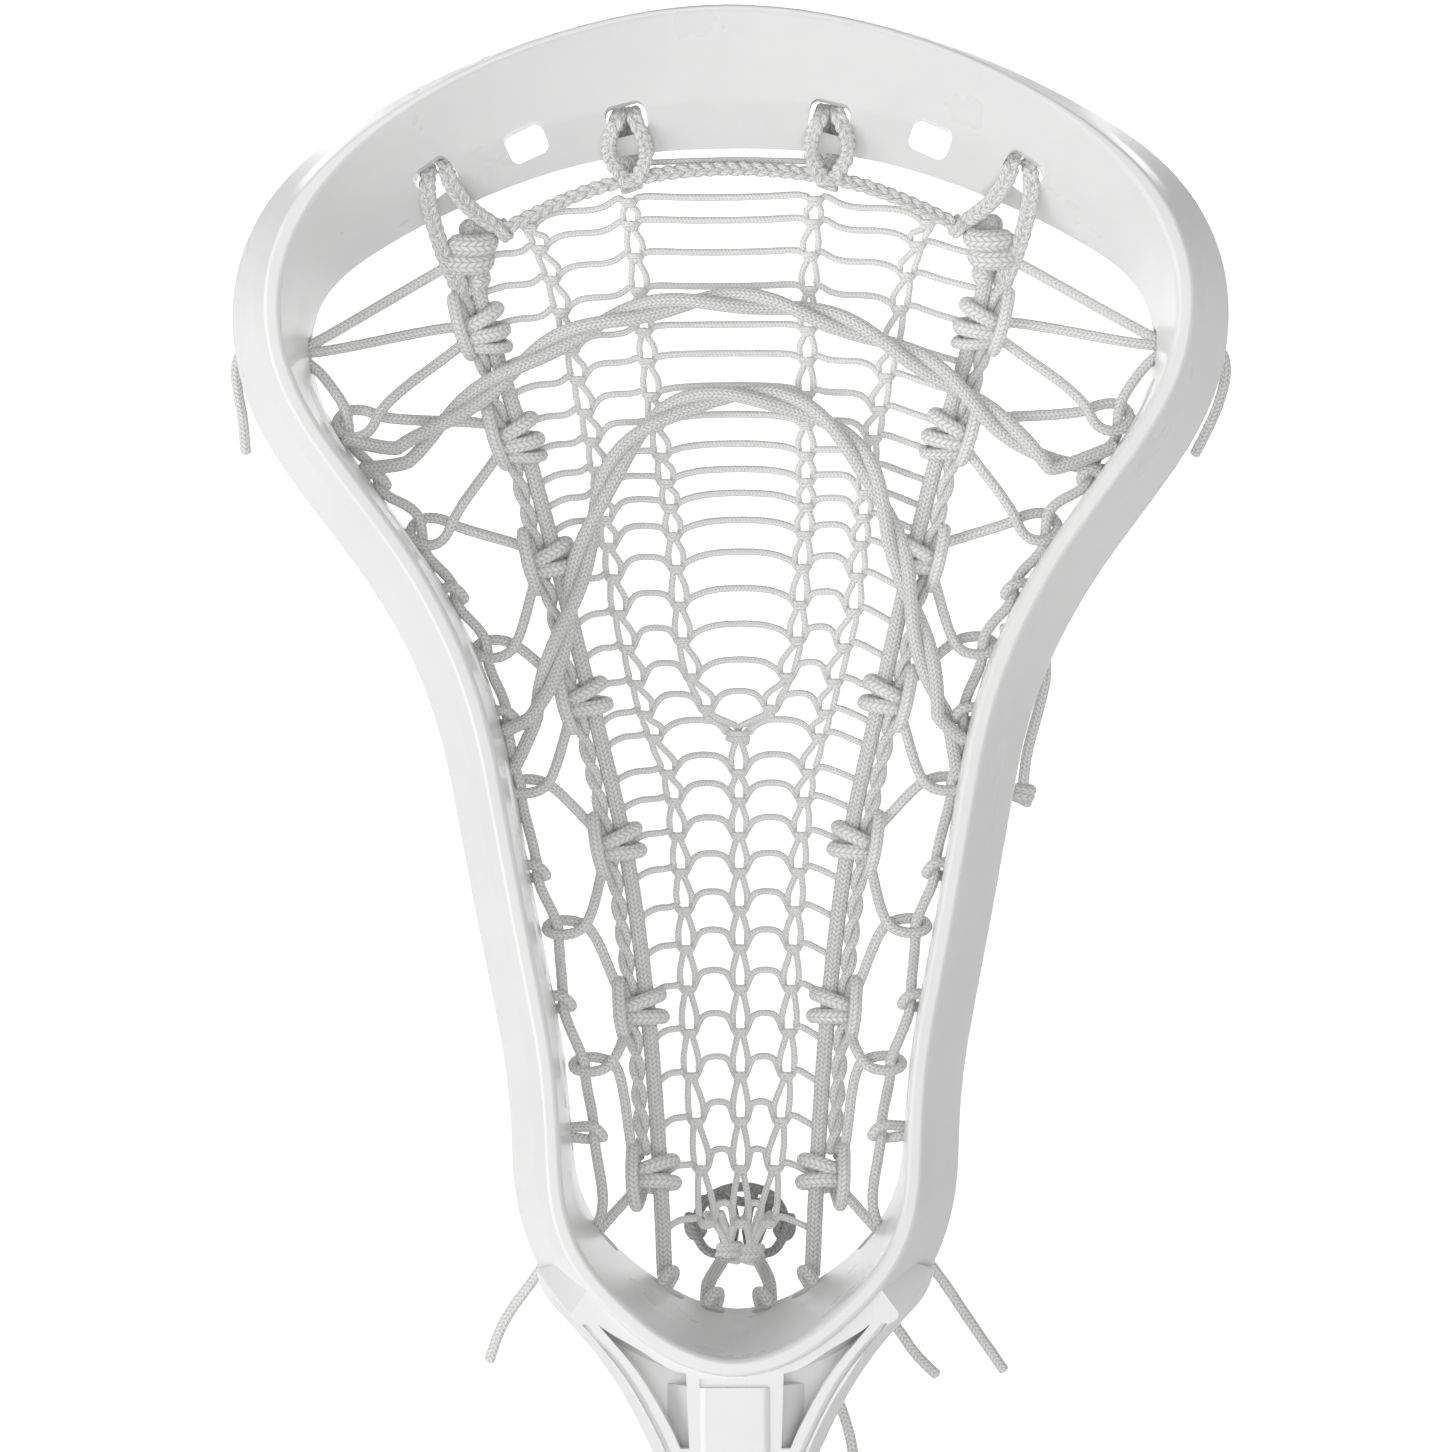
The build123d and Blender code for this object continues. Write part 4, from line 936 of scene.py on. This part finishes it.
def make_top():
    """Plaited string along the top of the mesh, and its ties at the scoop's holes."""
    top = Strings()
    for strand in plait(even(line_of(TOP_STRING, 12), 0.5), 1.0, 0.55, 8.5):
        top.add(strand, 0.78, sides=8, step=0.4)
    bridge = [(-22, 9.6, 267.4), (-8, 9.4, 267.9), (8, 9.4, 267.9), (22, 9.6, 267.2)]
    top.add(line_of(bridge), 0.7, sides=8)
    top.made("top_plait", LACING, "lacing_cord", ["top_string"])
    ties = Strings()
    for side in SIDES.values():
        for lean in (-1, 1):
            for strand in plait(tie_line(scoop_inner(lean), side), 1.0, 0.6, 6.6):
                ties.add(strand, 0.86, sides=10, step=0.4, relief=0.05)
        for route in (SCOOP_OUTER, SCOOP_DOWN):
            for strand in plait(tie_line(route, side), 1.1, 0.65, 7.0):
                ties.add(strand, 0.92, sides=10, step=0.4, relief=0.05)
        inner_knot = coil((22.3, 9.6, 262.8), (0.2, 0, 1), 2.0, 1.7, 2.6, 2.1)
        outer_knot = coil((51.6, 14.2, 252.8), (1, 0.2, -0.6), 1.9, 1.7, 2.6, 2.1)
        for knot in (inner_knot, outer_knot):
            ties.add(turned(knot, side), 0.8, sides=8)
    ties.made("scoop_tie_strings", LACING, "lacing_cord", ["scoop_ties"])


make_top()


STOP_HOLES = [(7.2, 21.6, 8.2, 0.25), (17.4, 22.4, 13.0, 0.75)]   # x, back edge y and height, lean
STOP_TIE = [  # across, behind the back edge, above it
    (0.0, -3.6, -1.0), (-0.8, -3.0, 1.7), (-2.5, -0.6, 2.7), (-3.0, 1.9, 1.7), (-2.4, 2.2, -2.6),
    (-0.8, 1.0, -6.4), (0.0, -2.8, -6.8), (0.0, -3.6, -4.4), (0.0, -3.6, -1.2),
]
STOP_LEADS = [  # from the ties at the right of the ball stop to the two loose ends there
    [(17.6, 24.4, 10.0), (16.6, 25.6, 7.4), (15.9, 25.6, 5.2), (15.8, 25.4, 4.2)],
    [(20.2, 22.8, 7.4), (20.6, 22.2, 8.6), (21.4, 21.6, 9.6), (22.4, 21.2, 9.6)],
]


def make_stop_ties():
    """Turns of string through the holes of the ball stop and over its back edge."""
    ties = Strings()
    for side in SIDES.values():
        for x, back, edge, lean in STOP_HOLES:
            loop = [(x + a + lean * max(0.0, -c), back + b, edge + c) for a, b, c in STOP_TIE]
            ties.add(turned(line_of(loop), side), 1.35, relief=0.05)
    for lead in STOP_LEADS:
        ties.add(line_of(lead), LACING_R, relief=0.05)
    ties.made("stop_tie_strings", LACING, "lacing_cord", ["stop_ties"])


make_stop_ties()


# ---------------------------------------------------------------- stage, light, camera
STAGE_HALF, STAGE_BACK, STAGE_TOP, STAGE_CURVE = 6.0, 7.0, 7.0, 1.4     # metres


def make_stage():
    """Pale floor that curves up into a pale backdrop."""
    bend = STAGE_BACK - STAGE_CURVE
    profile = [(-STAGE_HALF, 0.0), (bend, 0.0)]
    for a in np.linspace(0.1, math.pi / 2, 12):
        profile.append((bend + STAGE_CURVE * math.sin(a), STAGE_CURVE - STAGE_CURVE * math.cos(a)))
    profile.append((STAGE_BACK, STAGE_TOP))
    points, faces = [], []
    for y, z in profile:
        points += [(-STAGE_HALF, y, z), (STAGE_HALF, y, z)]
    for i in range(len(profile) - 1):
        faces.append((2 * i, 2 * i + 1, 2 * i + 3, 2 * i + 2))
    mesh = bpy.data.meshes.new("backdrop")
    mesh.from_pydata(points, [], faces)
    mesh.polygons.foreach_set("use_smooth", [True] * len(faces))
    n = Nodes("backdrop_paper")
    fibre = n.noise(160.0, 4.0)
    tone = n.colour(n.between(fibre, 0.3, 0.7), (0.93, 0.93, 0.93), (0.96, 0.96, 0.96))
    mesh.materials.append(n.finish(Base_Color=tone, Roughness=0.9))
    floor = bpy.data.objects.new("backdrop", mesh)
    bpy.context.scene.collection.objects.link(floor)


def lamp(name, place, target, size, power):
    """A round soft lamp of a size in metres and a power in watts, turned to a target."""
    light = bpy.data.lights.new(name, "AREA")
    light.shape, light.size, light.energy = "DISK", size, power
    holder = bpy.data.objects.new(name, light)
    bpy.context.scene.collection.objects.link(holder)
    holder.location = place
    holder.rotation_euler = (Vector(target) - Vector(place)).to_track_quat("-Z", "Y").to_euler()


HEAD, PAPER = (0.0, 0.0, 0.93), (0.0, 6.9, 1.0)
LAMPS = [                   # name, place, target, size in metres, power in watts
    ("key", (-1.5, -1.0, 0.75), HEAD, 1.4, 14.2),
    ("front", (0.2, -1.7, 0.35), HEAD, 1.3, 9.6),
    ("back_left", (-2.6, 4.2, 4.0), PAPER, 1.6, 130.0),
    ("back_right", (2.6, 4.2, 4.0), PAPER, 1.6, 130.0),
]
# strength of the surround: To Min at the horizon and below it, To Max overhead
SURROUND = {"From Min": 0.0, "From Max": 0.85, "To Min": 0.74, "To Max": 0.16}


def make_light():
    """Large soft lamps from the left and from low in front, two lamps on the backdrop, and
    an even surround that is dimmer overhead than at the horizon."""
    for values in LAMPS:
        lamp(*values)
    world = bpy.data.worlds.new("studio")
    bpy.context.scene.world = world
    world.use_nodes = True
    tree = world.node_tree
    way = tree.nodes.new("ShaderNodeTexCoord")
    parts = tree.nodes.new("ShaderNodeSeparateXYZ")
    fall = tree.nodes.new("ShaderNodeMapRange")
    for socket, value in SURROUND.items():
        fall.inputs[socket].default_value = value
    tree.links.new(way.outputs["Generated"], parts.inputs[0])
    tree.links.new(parts.outputs["Z"], fall.inputs["Value"])
    tree.links.new(fall.outputs["Result"], tree.nodes["Background"].inputs["Strength"])
    tree.nodes["Background"].inputs["Color"].default_value = (1.0, 1.0, 1.0, 1.0)
    bpy.context.scene.view_settings.view_transform = "Standard"


CAMERA_DISTANCE, CAMERA_HEIGHT = 1.1, 0.93396   # metres
CAMERA_X, AIM_X, AIM_Y = 0.028, -0.00093, -0.0165
CAMERA_ROLL = -0.39         # degrees
LENS, SENSOR = 123.5, 36.0  # millimetres


def make_camera():
    """Level camera in front of the head's open face, a little to the right."""
    place = Vector((CAMERA_X, AIM_Y - CAMERA_DISTANCE, CAMERA_HEIGHT))
    aim = Vector((AIM_X, AIM_Y, CAMERA_HEIGHT))
    data = bpy.data.cameras.new("camera")
    data.lens, data.sensor_width = LENS, SENSOR
    camera = bpy.data.objects.new("camera", data)
    bpy.context.scene.collection.objects.link(camera)
    camera.location = place
    roll = Quaternion((0, 0, 1), math.radians(CAMERA_ROLL))
    camera.rotation_mode = "QUATERNION"
    camera.rotation_quaternion = (aim - place).to_track_quat("-Z", "Y") @ roll
    bpy.context.scene.camera = camera


make_stage()
make_light()
make_camera()
